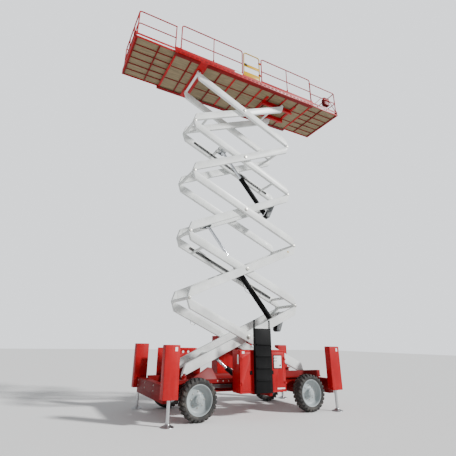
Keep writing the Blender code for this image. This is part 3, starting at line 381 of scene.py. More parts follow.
CHROME = metal("chromed_rod", (0.72, 0.75, 0.80), 0.06, (1, 1, 1), 0.05)
STEEL = metal("ground_steel", (0.60, 0.61, 0.62), 0.24, (6, 6, 0.3), 0.35)
ZINC = metal("zinc_bolt", (0.50, 0.49, 0.45), 0.34, (3, 3, 3), 0.45)
IRON = metal("cast_iron", (0.20, 0.195, 0.19), 0.48, (2, 2, 2), 0.6)
print("metals", [metal.name for metal in (CHROME, STEEL, ZINC, IRON)])

# %% Rubber and board
def rubber(name, colour, rough, mud):
    f = Finish(name, Metallic=0.0, IOR=1.45)
    grain = f.noise(120, 4)
    cloud = f.noise(6, 5, roughness=0.7)
    dried = cloud.soft(0.42, 0.78) * mud
    tone = f.mix(grain, shade(colour, 0.7), shade(colour, 1.35))
    muddy = f.mix(dried, tone, (0.23, 0.205, 0.175, 1))
    return f.feed(Base_Color=muddy, Roughness=rough + dried * 0.2 + grain * 0.1,
                  Normal=f.bump(grain * 0.6 + cloud, 0.0016, 0.55))

def board(name, colour, along, dirt=0.3):
    """Film-faced plywood: long grain along one axis, boards' knots, and damp stains."""
    f = Finish(name, Metallic=0.0, IOR=1.45)
    grain = f.noise(16, 6, stretch=along, roughness=0.6)
    fibre = f.noise(90, 3, stretch=along)
    stains = f.noise(2.3, 4)
    wood = f.mix(grain.soft(0.3, 0.7), shade(colour, 0.74), shade(colour, 1.12))
    spotted = f.mix(f.noise(7, 5).soft(0.62, 0.8) * 0.5, wood, shade(colour, 0.5))
    aged = f.mix(stains.soft(0.45, 0.8) * dirt, spotted, shade(colour, 0.42))
    return f.feed(Base_Color=aged, Roughness=0.55 + fibre * 0.25, Normal=f.bump(grain + fibre * 0.5, 0.001, 0.6))

TYRE = rubber("tyre_rubber", (0.030, 0.029, 0.028), 0.70, 0.42)
HOSE = rubber("hose_rubber", (0.016, 0.016, 0.017), 0.42, 0.12)
PALE_HOSE = rubber("pale_hose", (0.42, 0.43, 0.44), 0.38, 0.10)
# The panel brown is darker than the board's own tone: the shade under the deck painted in.
PANEL_AND_SHADE = board("deck_panel_and_painted_shade", (0.235, 0.18, 0.10), (0.12, 1.0, 1.0))
FLOOR_FILM = board("deck_film", (0.16, 0.10, 0.07), (0.12, 1.0, 1.0))
print("finishes", len(bpy.data.materials))

# %% [markdown]
# ## The scissor arms
# Each stage is two pairs of welded box tubes that cross at a pin in the middle. At one end of an arm the tube
# is slotted to a fork, at the other it is cut to a tongue, so that the knuckles fold into each other. The tube
# is one plate outline with rounded edges, and cylinders cut its slots. Pins, cross tubes and weld beads are
# added as their own solids, as a fitter adds them.

# %% Sizes of the stack
STAGES = 5
ARM_LENGTH, LIFT_ANGLE, BASE_PIN_Z = 4.124, math.radians(27.37), 0.901
TUBE_DEPTH, TUBE_WIDTH, PIN_RISE = 0.236, 0.100, 0.126
INNER_Y, OUTER_Y = 0.445, 0.570
NOSE_R, NOSE_GAP, NOSE_CHAMFER = 0.062, 0.008, 0.140
TONGUE, TONGUE_GAP = 0.047, 0.0025
PIN_R, CENTRE_PIN_R, CROSS_R, STUB_R, ROLLER_R = 0.032, 0.040, 0.045, 0.028, 0.055
TUBE_TILT = math.asin(2 * PIN_RISE / ARM_LENGTH)
PIN_REACH = ARM_LENGTH / 2 * math.cos(TUBE_TILT)
STAGE = ARM_LENGTH * math.sin(LIFT_ANGLE)
HALF_SPAN = ARM_LENGTH / 2 * math.cos(LIFT_ANGLE)
HIGH, LOW = (PIN_REACH, PIN_RISE), (-PIN_REACH, -PIN_RISE)
print("stage", round(STAGE, 3), "half span", round(HALF_SPAN, 3))

# %% Where an arm lies
def arm_place(stage, rising):
    """An arm is drawn level about its centre pin, then tilted, and turned round if it falls to the right."""
    centre = Matrix.Translation((0, 0, BASE_PIN_Z + STAGE * (stage - 0.5)))
    half_turn = Matrix.Identity(4) if rising else Matrix.Rotation(math.pi, 4, "Z")
    return centre @ half_turn @ Matrix.Rotation(-(LIFT_ANGLE - TUBE_TILT), 4, "Y")

def in_tube(along, square):
    """A place given along and square to the pin line, in the tube's level frame."""
    return (along * math.cos(TUBE_TILT) - square * math.sin(TUBE_TILT),
            along * math.sin(TUBE_TILT) + square * math.cos(TUBE_TILT))

print("arms lean by", round(math.degrees(LIFT_ANGLE - TUBE_TILT), 2), "degrees")

# %% The outline of an arm and of a lug
def arm_outline(steps=10):
    """A tube with a round nose at each pin and its far corners cut back."""
    meet = math.asin((PIN_RISE - TUBE_DEPTH / 2) / NOSE_R)
    corner = (NOSE_CHAMFER, PIN_RISE + TUBE_DEPTH / 2)
    tangent = math.atan2(corner[1], corner[0]) + math.acos(NOSE_R / math.hypot(*corner))
    angles = [meet - (meet + 2 * math.pi - tangent) * step / steps for step in range(steps + 1)]
    half = [(-PIN_REACH + NOSE_R * math.cos(a), -PIN_RISE + NOSE_R * math.sin(a)) for a in angles]
    half.append((-PIN_REACH + NOSE_CHAMFER, TUBE_DEPTH / 2))
    return half + [(-u, -v) for u, v in half]

def belt(near, near_r, far, far_r, steps=8):
    """The belt round two circles: a lug from a cross tube to an eye."""
    lean = math.atan2(far[1] - near[1], far[0] - near[0])
    opening = math.acos((near_r - far_r) / math.hypot(far[0] - near[0], far[1] - near[1]))
    ends = ((far, far_r, lean - opening, lean + opening), (near, near_r, lean + opening, lean + 2 * math.pi - opening))
    return [(c[0] + r * math.cos(a + (b - a) * step / steps), c[1] + r * math.sin(a + (b - a) * step / steps))
            for c, r, a, b in ends for step in range(steps + 1)]

print("points round an arm", len(arm_outline()))

# %% Fittings of an arm: pin heads, weld beads
def pin_head(x, z, y, side, radius):
    """A pin's head with a chamfered rim, a keeper plate across it and two bolts."""
    face = y + side * 0.014
    parts = [across(x, z, (y - side * 0.004, face), radius, 28, 0.003)]
    parts.append(plate([(x - radius * 0.3, z - radius * 0.78), (x + radius * 0.3, z - radius * 0.78),
                        (x + radius * 0.3, z + radius * 0.78), (x - radius * 0.3, z + radius * 0.78)],
                       sorted((face - side * 0.002, face + side * 0.004)), edge=0.001))
    for lift in (-0.5, 0.5):
        parts.append(across(x, z + lift * radius, (face, face + side * 0.0075), radius * 0.17, 6, 0.0008))
    return parts

def bead(x, z, y, radius, width=0.006):
    """A fillet weld round a tube where it meets a plate at y."""
    ring = [(radius - 0.002, -width), (radius + width, 0.0), (radius - 0.002, width)]
    return turned(ring, 20, Matrix.Translation((x, y, z)))

print("solids in a pin's head", len([part.free() for part in pin_head(0, 0, 0, 1, PIN_R)]))

# %% One arm of a pair
def tube_side(side, middle, head, foot):
    """One arm of a pair: rounded box tube, forked at the high end and cut to a tongue at the low end."""
    y0, y1 = middle - TUBE_WIDTH / 2, middle + TUBE_WIDTH / 2
    cutters = []
    if head == "fork":
        slot = TONGUE / 2 + TONGUE_GAP
        cutters.append(across(*HIGH, (side * (middle - slot), side * (middle + slot)), NOSE_R + NOSE_GAP, 32))
    if foot == "tongue":
        for edge in (-1, 1):
            span = (side * (middle + edge * (TUBE_WIDTH / 2 + 0.01)), side * (middle + edge * TONGUE / 2))
            cutters.append(across(*LOW, span, NOSE_R + NOSE_GAP, 32))
        cutters.append(across(*LOW, (side * (y0 - 0.01), side * (y1 + 0.01)), PIN_R + 0.0015, 24))
    body = plate(arm_outline(), (side * y0, side * y1), edge=0.009, segments=3)
    return cut(body, *cutters) if cutters else body

print("an arm is", TUBE_WIDTH, "wide and", TUBE_DEPTH, "deep")

# %% One pair of arms
def arm_pair(middle, ties, head, foot):
    """Two arms and the tubes across them, with a stiffening plate inside each end."""
    form = Form()
    y0, y1 = middle - TUBE_WIDTH / 2, middle + TUBE_WIDTH / 2
    for side in (-1, 1):
        form.add(tube_side(side, middle, head, foot))
        if head == "fork":
            form.add(across(*HIGH, (side * (y0 - 0.002), side * (y1 + 0.002)), PIN_R, 24))
        for x, z, radius in ties:
            form.add(bead(x, z, side * (y0 + 0.002), radius))
        for way in (-1, 1):
            rim = [(way * (PIN_REACH - 0.50), -way * 0.070), (way * (PIN_REACH - 0.19), -way * 0.070),
                   (way * (PIN_REACH - 0.13), way * 0.085), (way * (PIN_REACH - 0.58), way * 0.085)]
            form.add(plate(rim, sorted((side * (y0 + 0.001), side * (y0 - 0.005))), edge=0.0015))
    for x, z, radius in ties:
        form.add(across(x, z, (-y0 - 0.012, y0 + 0.012), radius, 28))
    if head == "fork":
        form.add(across(*HIGH, (-y0 - 0.003, y0 + 0.003), CROSS_R, 28))
    return form

print("pins of an arm are", round(2 * PIN_REACH, 3), "apart")

# %% The pins of one pair
def pins_of(middle, inner, head, foot):
    """Pins, keepers, rollers and their stubs: the bare and plated steel of one pair."""
    form = Form()
    y0, y1 = middle - TUBE_WIDTH / 2, middle + TUBE_WIDTH / 2
    reach = OUTER_Y + TUBE_WIDTH / 2
    for side in (-1, 1):
        if head == "fork":
            for part in pin_head(*HIGH, side * (y1 - (0.004 if inner else 0.0)), side, 0.043):
                form.add(part)
        else:
            form.add(across(*HIGH, (side * 0.305, side * (y0 + 0.01)), STUB_R, 24))
            form.add(across(*HIGH, (side * 0.305, side * 0.360), ROLLER_R, 36, 0.004))
        if foot == "roller":
            form.add(across(*LOW, (side * (y1 - 0.01), side * 0.690), STUB_R, 24))
            form.add(across(*LOW, (side * 0.635, side * 0.690), ROLLER_R, 36, 0.004))
        if inner:
            form.add(across(0, 0, (side * (y1 - 0.01), side * (reach + 0.002)), CENTRE_PIN_R - 0.001, 28))
            for part in pin_head(0, 0, side * (reach + 0.0045), side, 0.055):
                form.add(part)
    return form

print("the outer arms reach y", round(OUTER_Y + TUBE_WIDTH / 2, 3))

# %% Ten pairs of arms
LOWER_FOOT, LOWER_FOOT_TIE = in_tube(1.40, -0.44), (1.80, 0.0)
UPPER_FOOT, UPPER_FOOT_TIE = in_tube(1.15, -0.42), (1.60, 0.0)
LOWER_HEAD, UPPER_HEAD, BASE_HEAD = in_tube(-1.18, 0.0), in_tube(0.62, 0.05), in_tube(-0.893, -0.149)
TIE, FAR_TIE, TIE_R = 1.42, 1.75, 0.040
INNER_TIES = {
    1: [(-TIE, 0, TIE_R), (*LOWER_FOOT_TIE, 0.055), (-1.03, -0.05, 0.050)],
    2: [(-FAR_TIE, 0, TIE_R), (TIE, 0, TIE_R)],
    3: [(*UPPER_FOOT_TIE, 0.055), (-1.37, -0.04, 0.050)],
    4: [(-TIE, 0, TIE_R), (0.81, 0.06, 0.050)],
    5: [(-TIE, 0, TIE_R), (TIE, 0, TIE_R)]}

for stage in range(1, STAGES + 1):
    inner_rises = stage % 2 == 1
    for inner in (True, False):
        place = arm_place(stage, inner_rises == inner)
        kind, middle = ("inner", INNER_Y) if inner else ("outer", OUTER_Y)
        node = f"stage_{stage}_{kind}_arms"
        head = "roller" if stage == STAGES and inner else "fork"
        foot = "roller" if stage == 1 and not inner else "tongue"
        arms = arm_pair(middle, INNER_TIES[stage] if inner else (), head, foot)
        arms.shape.transform(place)
        arms.piece(f"{node}_tubes", node, WHITE, "arm_paint", [node])
        pins = pins_of(middle, inner, head, foot)
        pins.shape.transform(place)
        pins.piece(f"{node}_pins", node, ZINC, "bright_steel")
print("arm pieces", len(made), "faces", sum(made.values()))

# %% [markdown]
# ## Cylinder brackets
# The lift cylinders hang between two thick lugs on a cross tube. They are flame-cut plates, painted a dark grey that
# stands for the shade they hang in under the arms, with a pin and its keeper through them, and gussets that spread the
# load into the cross tube.

# %% Brackets
def bracket(eye, tie, tie_r, pinned, gusset=0.16):
    form = Form()
    for side in (-1, 1):
        span = sorted((side * 0.090, side * 0.112))
        form.add(plate(belt(tie, tie_r + 0.012, eye, 0.075), span, edge=0.003))
        web = [(tie[0] - gusset, tie[1] + tie_r * 0.2), (tie[0] + gusset * 0.2, tie[1] + tie_r * 0.2),
               (eye[0] + (tie[0] - eye[0]) * 0.45, eye[1] + (tie[1] - eye[1]) * 0.45)]
        if pinned:
            form.add(plate(web, sorted((side * 0.0925, side * 0.1095)), edge=0.002))
            form.add(across(*eye, (side * 0.110, side * 0.120), 0.048, 28, 0.002))
        form.add(bead(*tie, side * 0.090, tie_r))
        form.add(bead(*tie, side * 0.112, tie_r))
    if pinned:
        form.add(across(*eye, (-0.122, 0.122), 0.030, 28, 0.002))
    return form

BRACKETS = (("lower_foot", 1, True, LOWER_FOOT, LOWER_FOOT_TIE, 0.055, True),
            ("base_head", 1, True, BASE_HEAD, (-1.03, -0.05), 0.050, False),
            ("upper_foot", 3, True, UPPER_FOOT, UPPER_FOOT_TIE, 0.055, True),
            ("lower_head", 3, True, LOWER_HEAD, (-1.37, -0.04), 0.050, False),
            ("upper_head", 4, False, UPPER_HEAD, (0.81, 0.06), 0.050, False))
for name, stage, rising, eye, tie, tie_r, pinned in BRACKETS:
    form = bracket(eye, tie, tie_r, pinned)
    form.shape.transform(arm_place(stage, rising))
    form.piece(f"{name}_bracket", f"stage_{stage}_inner_arms", SHADE_GREY, "arm_paint")
print("brackets", len(BRACKETS))

# %% [markdown]
# ## Lift cylinders
# A honed barrel is painted black, with a screwed gland at its mouth, a welded foot eye, ports and a hard oil pipe
# along its back. The rod is chrome and ends in a forged eye. Both are turned about the Y axis, as on a lathe,
# and then laid along the line from foot to head.

# %% Cylinders
def on_arm(stage, rising, along, square):
    """A place on an arm, given along and square to its pin line, as a point of the machine."""
    x = along * math.cos(LIFT_ANGLE) - square * math.sin(LIFT_ANGLE)
    z = along * math.sin(LIFT_ANGLE) + square * math.cos(LIFT_ANGLE)
    return Vector((x if rising else -x, 0, BASE_PIN_Z + STAGE * (stage - 0.5) + z))

EYE_R, EYE_HALF = 0.075, 0.086

def cylinder(name, foot, head, barrel_r, rod_r, mouth_at, held):
    way = (head - foot).normalized()
    square = Vector((0, 1, 0)).cross(way)
    lay = Matrix.Translation(foot) @ Matrix((square, way, square.cross(way))).transposed().to_4x4()
    body = [(0.0, EYE_R * 0.6), (barrel_r * 0.7, EYE_R * 0.6), (barrel_r * 0.96, EYE_R + 0.02),
            (barrel_r, EYE_R + 0.05), (barrel_r, mouth_at - 0.105), (barrel_r + 0.008, mouth_at - 0.095),
            (barrel_r + 0.008, mouth_at - 0.012),
            (barrel_r + 0.002, mouth_at - 0.004), (rod_r + 0.012, mouth_at), (rod_r + 0.004, mouth_at - 0.010),
            (rod_r + 0.0008, mouth_at - 0.014), (rod_r + 0.0008, mouth_at - 0.09), (0.0, mouth_at - 0.09)]
    form = Form(turned(body, 40, lay))
    eye = turned([(0.031, -EYE_HALF), (EYE_R, -EYE_HALF), (EYE_R, EYE_HALF), (0.031, EYE_HALF)], 36)
    form.add(eye, Matrix.Translation(foot))
    for spot in (0.22, 0.5, 0.78):
        form.add(turned([(barrel_r - 0.002, -0.006), (barrel_r + 0.004, -0.006), (barrel_r + 0.004, 0.006),
                         (barrel_r - 0.002, 0.006)], 32, lay @ Matrix.Translation((0, mouth_at * spot, 0))))
    form.piece(f"{name}_barrel_body", f"{name}_barrel", BLACK, "black_paint", [f"{name}_barrel"])
    side = barrel_r + 0.016
    pipe = bent([lay @ Vector(p) for p in ((side - 0.02, mouth_at - 0.13, 0), (side, mouth_at - 0.13, 0),
                                           (side, 0.26, 0), (side - 0.02, 0.26, 0))], 0.011)
    fittings = Form(swept(pipe, 0.008, 10))
    for spot in (0.2, 0.26, mouth_at - 0.13):
        port = lay @ Matrix.Translation((0, spot, 0))
        fittings.add(bar((barrel_r - 0.01, 0, 0), (barrel_r + 0.022, 0, 0), 0.017, 6, 0.002), port)
    fittings.piece(f"{name}_oil_pipe", f"{name}_barrel", ZINC, "bright_steel")
    length = (head - foot).length
    rod_line = [(0.0, mouth_at - held), (rod_r - 0.003, mouth_at - held), (rod_r, mouth_at - held + 0.004),
                (rod_r, length - 0.115), (rod_r - 0.006, length - 0.10), (rod_r + 0.012, length - 0.075),
                (rod_r + 0.006, length - 0.03), (0.0, length - 0.03)]
    rod = Form(turned(rod_line, 40, lay))
    rod.add(turned([(0.031, 0.002 - EYE_HALF), (0.064, 0.002 - EYE_HALF), (0.064, EYE_HALF - 0.002),
                    (0.031, EYE_HALF - 0.002)], 36), Matrix.Translation(head))
    rod.piece(f"{name}_rod_body", f"{name}_rod", CHROME, "bright_steel", [f"{name}_rod"])
    print(name, "pin to pin", round(length, 3))

# %% Three lift cylinders
cylinder("lower_cylinder", on_arm(1, True, 1.40, -0.44), on_arm(3, True, -1.18, 0.0), 0.080, 0.045, 2.50, 0.90)
cylinder("upper_cylinder", on_arm(3, True, 1.15, -0.42), on_arm(4, False, 0.62, 0.05), 0.080, 0.045, 1.62, 0.62)
cylinder("base_cylinder", Vector((0.49, 0, 0.424)), on_arm(1, True, -0.893, -0.149), 0.062, 0.036, 1.05, 0.40)
print("cylinder pieces", sum(name.startswith(("lower_cyl", "upper_cyl", "base_cyl")) for name in made))

# %% [markdown]
# ## The platform
# The main deck keeps its imported shape, with its sheet edges rounded. Under it lie plywood floor panels between
# folded steel ribs, which is what is seen from the ground: brown boards in a red grid, both darker than their own
# colour, with the shade under the deck painted into them. Each panel is a thin slab let in between two ribs, with a
# small gap, so that it never shares a face with them. A wide flange in the same dark red runs under both long
# edges.

# %% Deck sizes
DECK_X, DECK_HALF, DECK_FLOOR = (-2.860, 3.000), 0.990, 10.650
UNDER = (10.450, 10.528)
LEFT_END, RIGHT_END, END_HALF = -4.160, 4.380, 0.935
END_Z, BOARD_TOP = (10.5283, 10.5783), 10.740
RAIL_R, RAIL_TOP_Z, RAIL_MID_Z = 0.020, 11.760, 11.170
RAIL_Y = DECK_HALF - 0.012 - RAIL_R - 0.002
GATE_X = (-0.240, 0.460)
deck = Form(packed("main_deck", 0.0025))
deck.piece("main_deck_frame", "platform", RED, "red_paint", ["main_deck"])
print("main deck", round(DECK_X[1] - DECK_X[0], 3), "long and", 2 * DECK_HALF, "wide")

# %% Panels and ribs under the main deck
def panels(form, xs, ys, z):
    for x0, x1 in zip(xs, xs[1:]):
        for y0, y1 in zip(ys, ys[1:]):
            form.add(block((x0 + 0.022, x1 - 0.022), (y0 + 0.012, y1 - 0.012), z, 0.002, 1))
    return form

ribs = [DECK_X[0] + 0.06 + (DECK_X[1] - DECK_X[0] - 0.12) * index / 5 for index in range(6)]
middle_ribs = sorted(ribs + [(a + b) / 2 for a, b in zip(ribs, ribs[1:])])
under = panels(Form(), middle_ribs, (-0.93, -0.31, 0.31, 0.93), (UNDER[1] - 0.034, UNDER[1] - 0.0215))
under.piece("main_deck_panels", "platform", PANEL_AND_SHADE)
# The ribs and the flanges take the half-strength red: painted shade under the deck.
grid = Form()
for x in middle_ribs[1::2]:
    grid.add(block((x - 0.022, x + 0.022), (-0.93, 0.93), (UNDER[1] - 0.062, UNDER[1] - 0.012), 0.003))
for y in (-0.31, 0.31):
    for x0, x1 in zip(middle_ribs, middle_ribs[1:]):
        grid.add(block((x0 + 0.024, x1 - 0.024), (y - 0.014, y + 0.014), (UNDER[1] - 0.052, UNDER[1] - 0.010), 0.003))
for side in (-1, 1):
    flange = (side * (DECK_HALF - 0.145), side * (DECK_HALF - 0.008))
    grid.add(block((DECK_X[0] + 0.01, DECK_X[1] - 0.01), flange, (UNDER[0] + 0.0005, UNDER[0] + 0.0085), 0.002))
grid.piece("main_deck_ribs", "platform", DARK_RED_AND_SHADE, "chassis_paint")
print("ribs across the deck", len(middle_ribs))

# %% Roll-out ends: edge frame, sunk boards and ribs
def end_floor(name, outer, inner, body):
    """Everything lies within the plate's own thickness, because the end rolls in under the main deck's floor."""
    toward = 1 if outer < inner else -1
    start, stop = sorted((outer, inner))
    low, top = END_Z
    frame_form = Form(block(sorted((outer, outer + toward * 0.030)), (-END_HALF, END_HALF), (low, BOARD_TOP), 0.003))
    for side in (-1, 1):
        frame_form.add(block((start, stop), sorted((side * (END_HALF - 0.035), side * END_HALF)), (low, top), 0.003))
    frame_form.add(block(sorted((inner - toward * 0.06, inner)), (-END_HALF, END_HALF), (low, top), 0.003))
    frame_form.piece(f"{name}_end_frame", body, RED, "red_paint", [f"{name}_end_deck"])
    ys = [-0.90 + 0.30 * step for step in range(7)]
    middle = (start + stop) / 2
    boards = Form()
    for x0, x1 in ((start + 0.02, middle), (middle, stop - 0.02)):
        for y0, y1 in zip(ys, ys[1:]):
            boards.add(block((x0 + 0.002, x1 - 0.002), (y0 + 0.002, y1 - 0.002), (top - 0.016, top - 0.002),
                             0.001, 1))
    boards.piece(f"{name}_end_boards", body, PANEL_AND_SHADE)
    ribs = Form()
    for y in ys[1:-1]:
        ribs.add(block((start + 0.01, stop - 0.01), (y - 0.009, y + 0.009), (low + 0.004, top - 0.010), 0.002))
    for x in (start + 0.055, middle, stop - 0.055):
        ribs.add(block((x - 0.020, x + 0.020), (-0.905, 0.905), (low + 0.001, top - 0.010), 0.002))
    ribs.piece(f"{name}_end_ribs", body, DARK_RED_AND_SHADE, "chassis_paint")
    film = Form(block((start + 0.03, stop - 0.002), (-0.90, 0.90), (top - 0.003, top + 0.0002), 0.001, 1))
    film.piece(f"{name}_end_walking_sheet", body, FLOOR_FILM)
    print(name, "end is", round(stop - start, 3), "long")

end_floor("left", LEFT_END, DECK_X[0] + 0.30, "left_end")
end_floor("right", RIGHT_END, DECK_X[1] - 0.30, "right_end")

# %% Walking surface
top = Form()
sheets = [DECK_X[0] + 0.02 + (DECK_X[1] - DECK_X[0] - 0.04) * step / 5 for step in range(6)]
for x0, x1 in zip(sheets, sheets[1:]):
    top.add(block((x0 + 0.003, x1 - 0.003), (-0.868, 0.868), (DECK_FLOOR - 0.004, DECK_FLOOR + 0.0002), 0.001, 1))
top.piece("deck_walking_sheets", "platform", FLOOR_FILM)
print("walking sheets", len(sheets) - 1)

# %% Slotted strip, painted field and blank label on the toe board
strip = Form()
slots = 34
for index in range(slots):
    x = DECK_X[0] + 0.10 + (DECK_X[1] - DECK_X[0] - 0.20) * index / (slots - 1)
    strip.add(block((x - 0.055, x + 0.055), (-DECK_HALF - 0.004, -DECK_HALF + 0.001), (10.512, 10.560), 0.0015, 1))
strip.piece("slotted_strip", "platform", DARK_RED_AND_SHADE, "chassis_paint")
label = Form(block((-2.62, -0.32), (-DECK_HALF - 0.0025, -DECK_HALF + 0.001), (10.602, 10.688), 0.001, 1))
label.piece("toe_board_field", "platform", RED, "red_paint")
label = Form(block((-0.62, -0.30), (-DECK_HALF - 0.0035, -DECK_HALF + 0.001), (10.612, 10.680), 0.001, 1))
label.piece("toe_board_blank_label", "platform", LABEL, "arm_paint")
print("plates in the strip", slots)

# %% [markdown]
# ## Guard rails
# Rails are bent from one length of round tube, so the hoops are swept along a path whose corners are true arcs.
# Middle rails end on the posts with a fillet weld, and every post stands in a short socket on the deck.

# %% Main rails
FOOT_Z = DECK_FLOOR + 0.0003

def socket(x, y):
    """A base plate and the short outer tube that a post stands in."""
    return [bar((x, y, FOOT_Z), (x, y, FOOT_Z + 0.14), RAIL_R + 0.0055, 24, 0.0015),
            block((x - 0.045, x + 0.045), (y - 0.026, y + 0.026), (FOOT_Z, FOOT_Z + 0.008), 0.002)]

def rail(name, xs, y, posts, node, carries_gate=False):
    """One hoop with its middle rail and posts. The rail that carries the gate also gets two hinge sleeves."""
    hoop = bent([(xs[0], y, FOOT_Z), (xs[0], y, RAIL_TOP_Z), (xs[1], y, RAIL_TOP_Z), (xs[1], y, FOOT_Z)], 0.09, 8)
    form = Form(swept(hoop, RAIL_R, 20), swept([(xs[0], y, RAIL_MID_Z), (xs[1], y, RAIL_MID_Z)], 0.018, 16))
    for x in posts:
        form.add(swept([(x, y, FOOT_Z), (x, y, RAIL_TOP_Z - 0.006)], 0.016, 16))
    for x in (*xs, *posts):
        weld = turned([(0.017, -0.005), (0.024, 0), (0.017, 0.005)], 16)
        form.add(weld, Matrix.Translation((x, y, RAIL_MID_Z)) @ Matrix.Rotation(math.pi / 2, 4, "Z"))
        for part in socket(x, y):
            form.add(part)
    if carries_gate:
        for z in (FOOT_Z + 0.27, RAIL_TOP_Z - 0.28):
            hole = bar((GATE_X[1], y, z - 0.01), (GATE_X[1], y, z + 0.06), RAIL_R + 0.0015, 28)
            sleeve = block((GATE_X[1] - 0.028, GATE_X[1] + 0.10), (y - 0.028, y + 0.028), (z, z + 0.05), 0.005, 3)
            form.add(cut(sleeve, hole))
    form.piece(name, "platform", RED, "red_paint", [node])
    print(name, round(xs[1] - xs[0], 3), "long")

rail("near_left_guard_rail", (-2.660, GATE_X[0] - 0.04), -RAIL_Y, (-1.45,), "near_left_rail")
rail("near_right_guard_rail", (GATE_X[1] + 0.10, 2.940), -RAIL_Y, (1.75,), "near_right_rail", True)
rail("far_guard_rail", (-2.660, 2.940), RAIL_Y, (-0.8, 1.1), "far_rail")

# %% Rails round the roll-out ends
def end_rails(name, outer, inner, body, braces):
    toward = 1 if outer < inner else -1
    x_end, last, y_rail = outer + toward * 0.045, inner - toward * 0.02, 0.905
    form = Form()
    for z, radius in ((11.660, 0.020), (11.150, 0.018)):
        path = bent([(inner, -y_rail, z), (x_end, -y_rail, z), (x_end, y_rail, z), (inner, y_rail, z)], 0.08, 8)
        form.add(swept(path, radius, 18))
    for side in (-1, 1):
        y = side * y_rail
        form.add(swept([(last, y, BOARD_TOP - 0.03), (last, y, 11.660)], 0.019, 16))
        form.add(swept([(x_end, y * 0.985, BOARD_TOP + 0.0003), (x_end, y * 0.985, 11.660)], 0.020, 16))
        face = outer + toward * 0.0303
        form.add(block((face, inner), (y - 0.006, y + 0.006), (DECK_FLOOR + 0.010, 10.730), 0.002))
        form.add(block((face, x_end + toward * 0.012), (y - 0.02, y + 0.02), (DECK_FLOOR + 0.008, BOARD_TOP + 0.02),
                       0.003))
    for y in (-0.30, 0.30):
        form.add(swept([(x_end, y, BOARD_TOP + 0.001), (x_end, y, 11.660)], 0.015, 14))
    for x0, x1 in braces:
        form.add(swept([(x0, -y_rail, 10.745), (x1, -y_rail, 11.140)], 0.013, 12))
    form.piece(f"{name}_end_guard_rail", body, RED, "red_paint", [f"{name}_end_rail"])
    print(name, "end rail reaches x", x_end)

end_rails("left", LEFT_END, DECK_X[0] + 0.04, "left_end", ())
end_rails("right", RIGHT_END, DECK_X[1] - 0.04, "right_end", ((4.30, 4.02), (3.20, 3.56)))

# %% [markdown]
# ## Gate and control box
# The gate is a yellow hoop with a middle plank, a kick plate and a black slam latch. The upper controls sit in a
# dark red box on the right-hand rail, with a sloped lid, a stick with a rubber boot and an emergency knob.

# %% Gate
y_gate, foot, top_z = -RAIL_Y, FOOT_Z + 0.02, RAIL_TOP_Z - 0.02
x0, x1 = GATE_X[0] + 0.025, GATE_X[1]
hoop = bent([(x0, y_gate, foot), (x0, y_gate, top_z), (x1, y_gate, top_z), (x1, y_gate, foot)], 0.09, 8)
form = Form(swept(hoop, RAIL_R, 20))
mid_z = RAIL_MID_Z
for plank in ((foot + 0.005, foot + 0.20), (mid_z - 0.06, mid_z + 0.06)):
    form.add(block((x0 + 0.004, x1 - 0.004), (y_gate - 0.008, y_gate + 0.008), plank, 0.003))
for lip in ((mid_z - 0.052, mid_z - 0.040), (mid_z + 0.040, mid_z + 0.052)):
    form.add(block((x0 + 0.01, x1 - 0.01), (y_gate - 0.014, y_gate - 0.006), lip, 0.002))
form.piece("yellow_gate", "gate", YELLOW, "gate_paint", ["gate"])
latch = Form(block((x0 + 0.015, x0 + 0.135), (y_gate - 0.030, y_gate - 0.006), (mid_z - 0.028, mid_z + 0.030), 0.005),
             bar((x0 + 0.05, y_gate - 0.045, mid_z), (x0 + 0.05, y_gate - 0.02, mid_z), 0.013, 20, 0.003),
             bar((x0 + 0.02, y_gate - 0.018, mid_z + 0.06), (x0 + 0.11, y_gate - 0.018, mid_z + 0.06), 0.007, 12,
                 0.001))
latch.piece("gate_latch", "gate", BLACK, "black_paint")
print("gate", round(x1 - x0, 3), "wide")

# %% Control box
cx0, cx1, cy = RIGHT_END - 0.62, RIGHT_END - 0.34, -(0.905 - 0.018 - 0.0003)
cz0, cz1 = RAIL_MID_Z - 0.22, RAIL_MID_Z + 0.12
form = Form(plate([(cy, cz0), (cy + 0.16, cz0), (cy + 0.16, cz1 - 0.07), (cy, cz1)], (cx0, cx1), "X", 0.008, 3))
form.add(block((cx0 - 0.006, cx1 + 0.006), (cy + 0.002, cy + 0.165), (cz0 + 0.03, cz0 + 0.042), 0.003))
form.piece("upper_control_box", "right_end", DARK_RED_AND_SHADE, "red_paint", ["control_box"])
mid = (cx0 + cx1) / 2
slope = Matrix.Translation((mid, cy + 0.08, cz1 - 0.035)) @ Matrix.Rotation(-0.41, 4, "X")
form = Form(block((-0.125, 0.125), (-0.072, 0.072), (-0.001, 0.004), 0.002))
form.add(bar((-0.06, 0, 0.003), (-0.06, 0, 0.035), 0.024, 24, 0.004, end_radius=0.010))
form.add(bar((-0.06, 0, 0.03), (-0.06, 0, 0.105), 0.008, 16, 0.002))
form.add(bar((-0.06, 0, 0.10), (-0.06, 0, 0.135), 0.016, 20, 0.007))
for step in range(3):
    form.add(bar((0.02 + 0.035 * step, 0.03, 0.003), (0.02 + 0.035 * step, 0.03, 0.022), 0.006, 12, 0.001))
form.shape.transform(slope)
form.piece("upper_control_stick", "right_end", BLACK, "black_paint")
knob = Form(bar((0.07, -0.035, 0.003), (0.07, -0.035, 0.026), 0.016, 24, 0.004))
knob.shape.transform(slope)
knob.piece("upper_stop_knob", "right_end", RED, "red_paint")
print("platform done", len(made))

# %% [markdown]
# ## Chassis, axles and side boxes
# The frame is welded from plate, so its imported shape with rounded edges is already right. The details that make
# it read as steel are added on top: bolt rows, rounded axle casings, a bank of valves and the hoses near them.

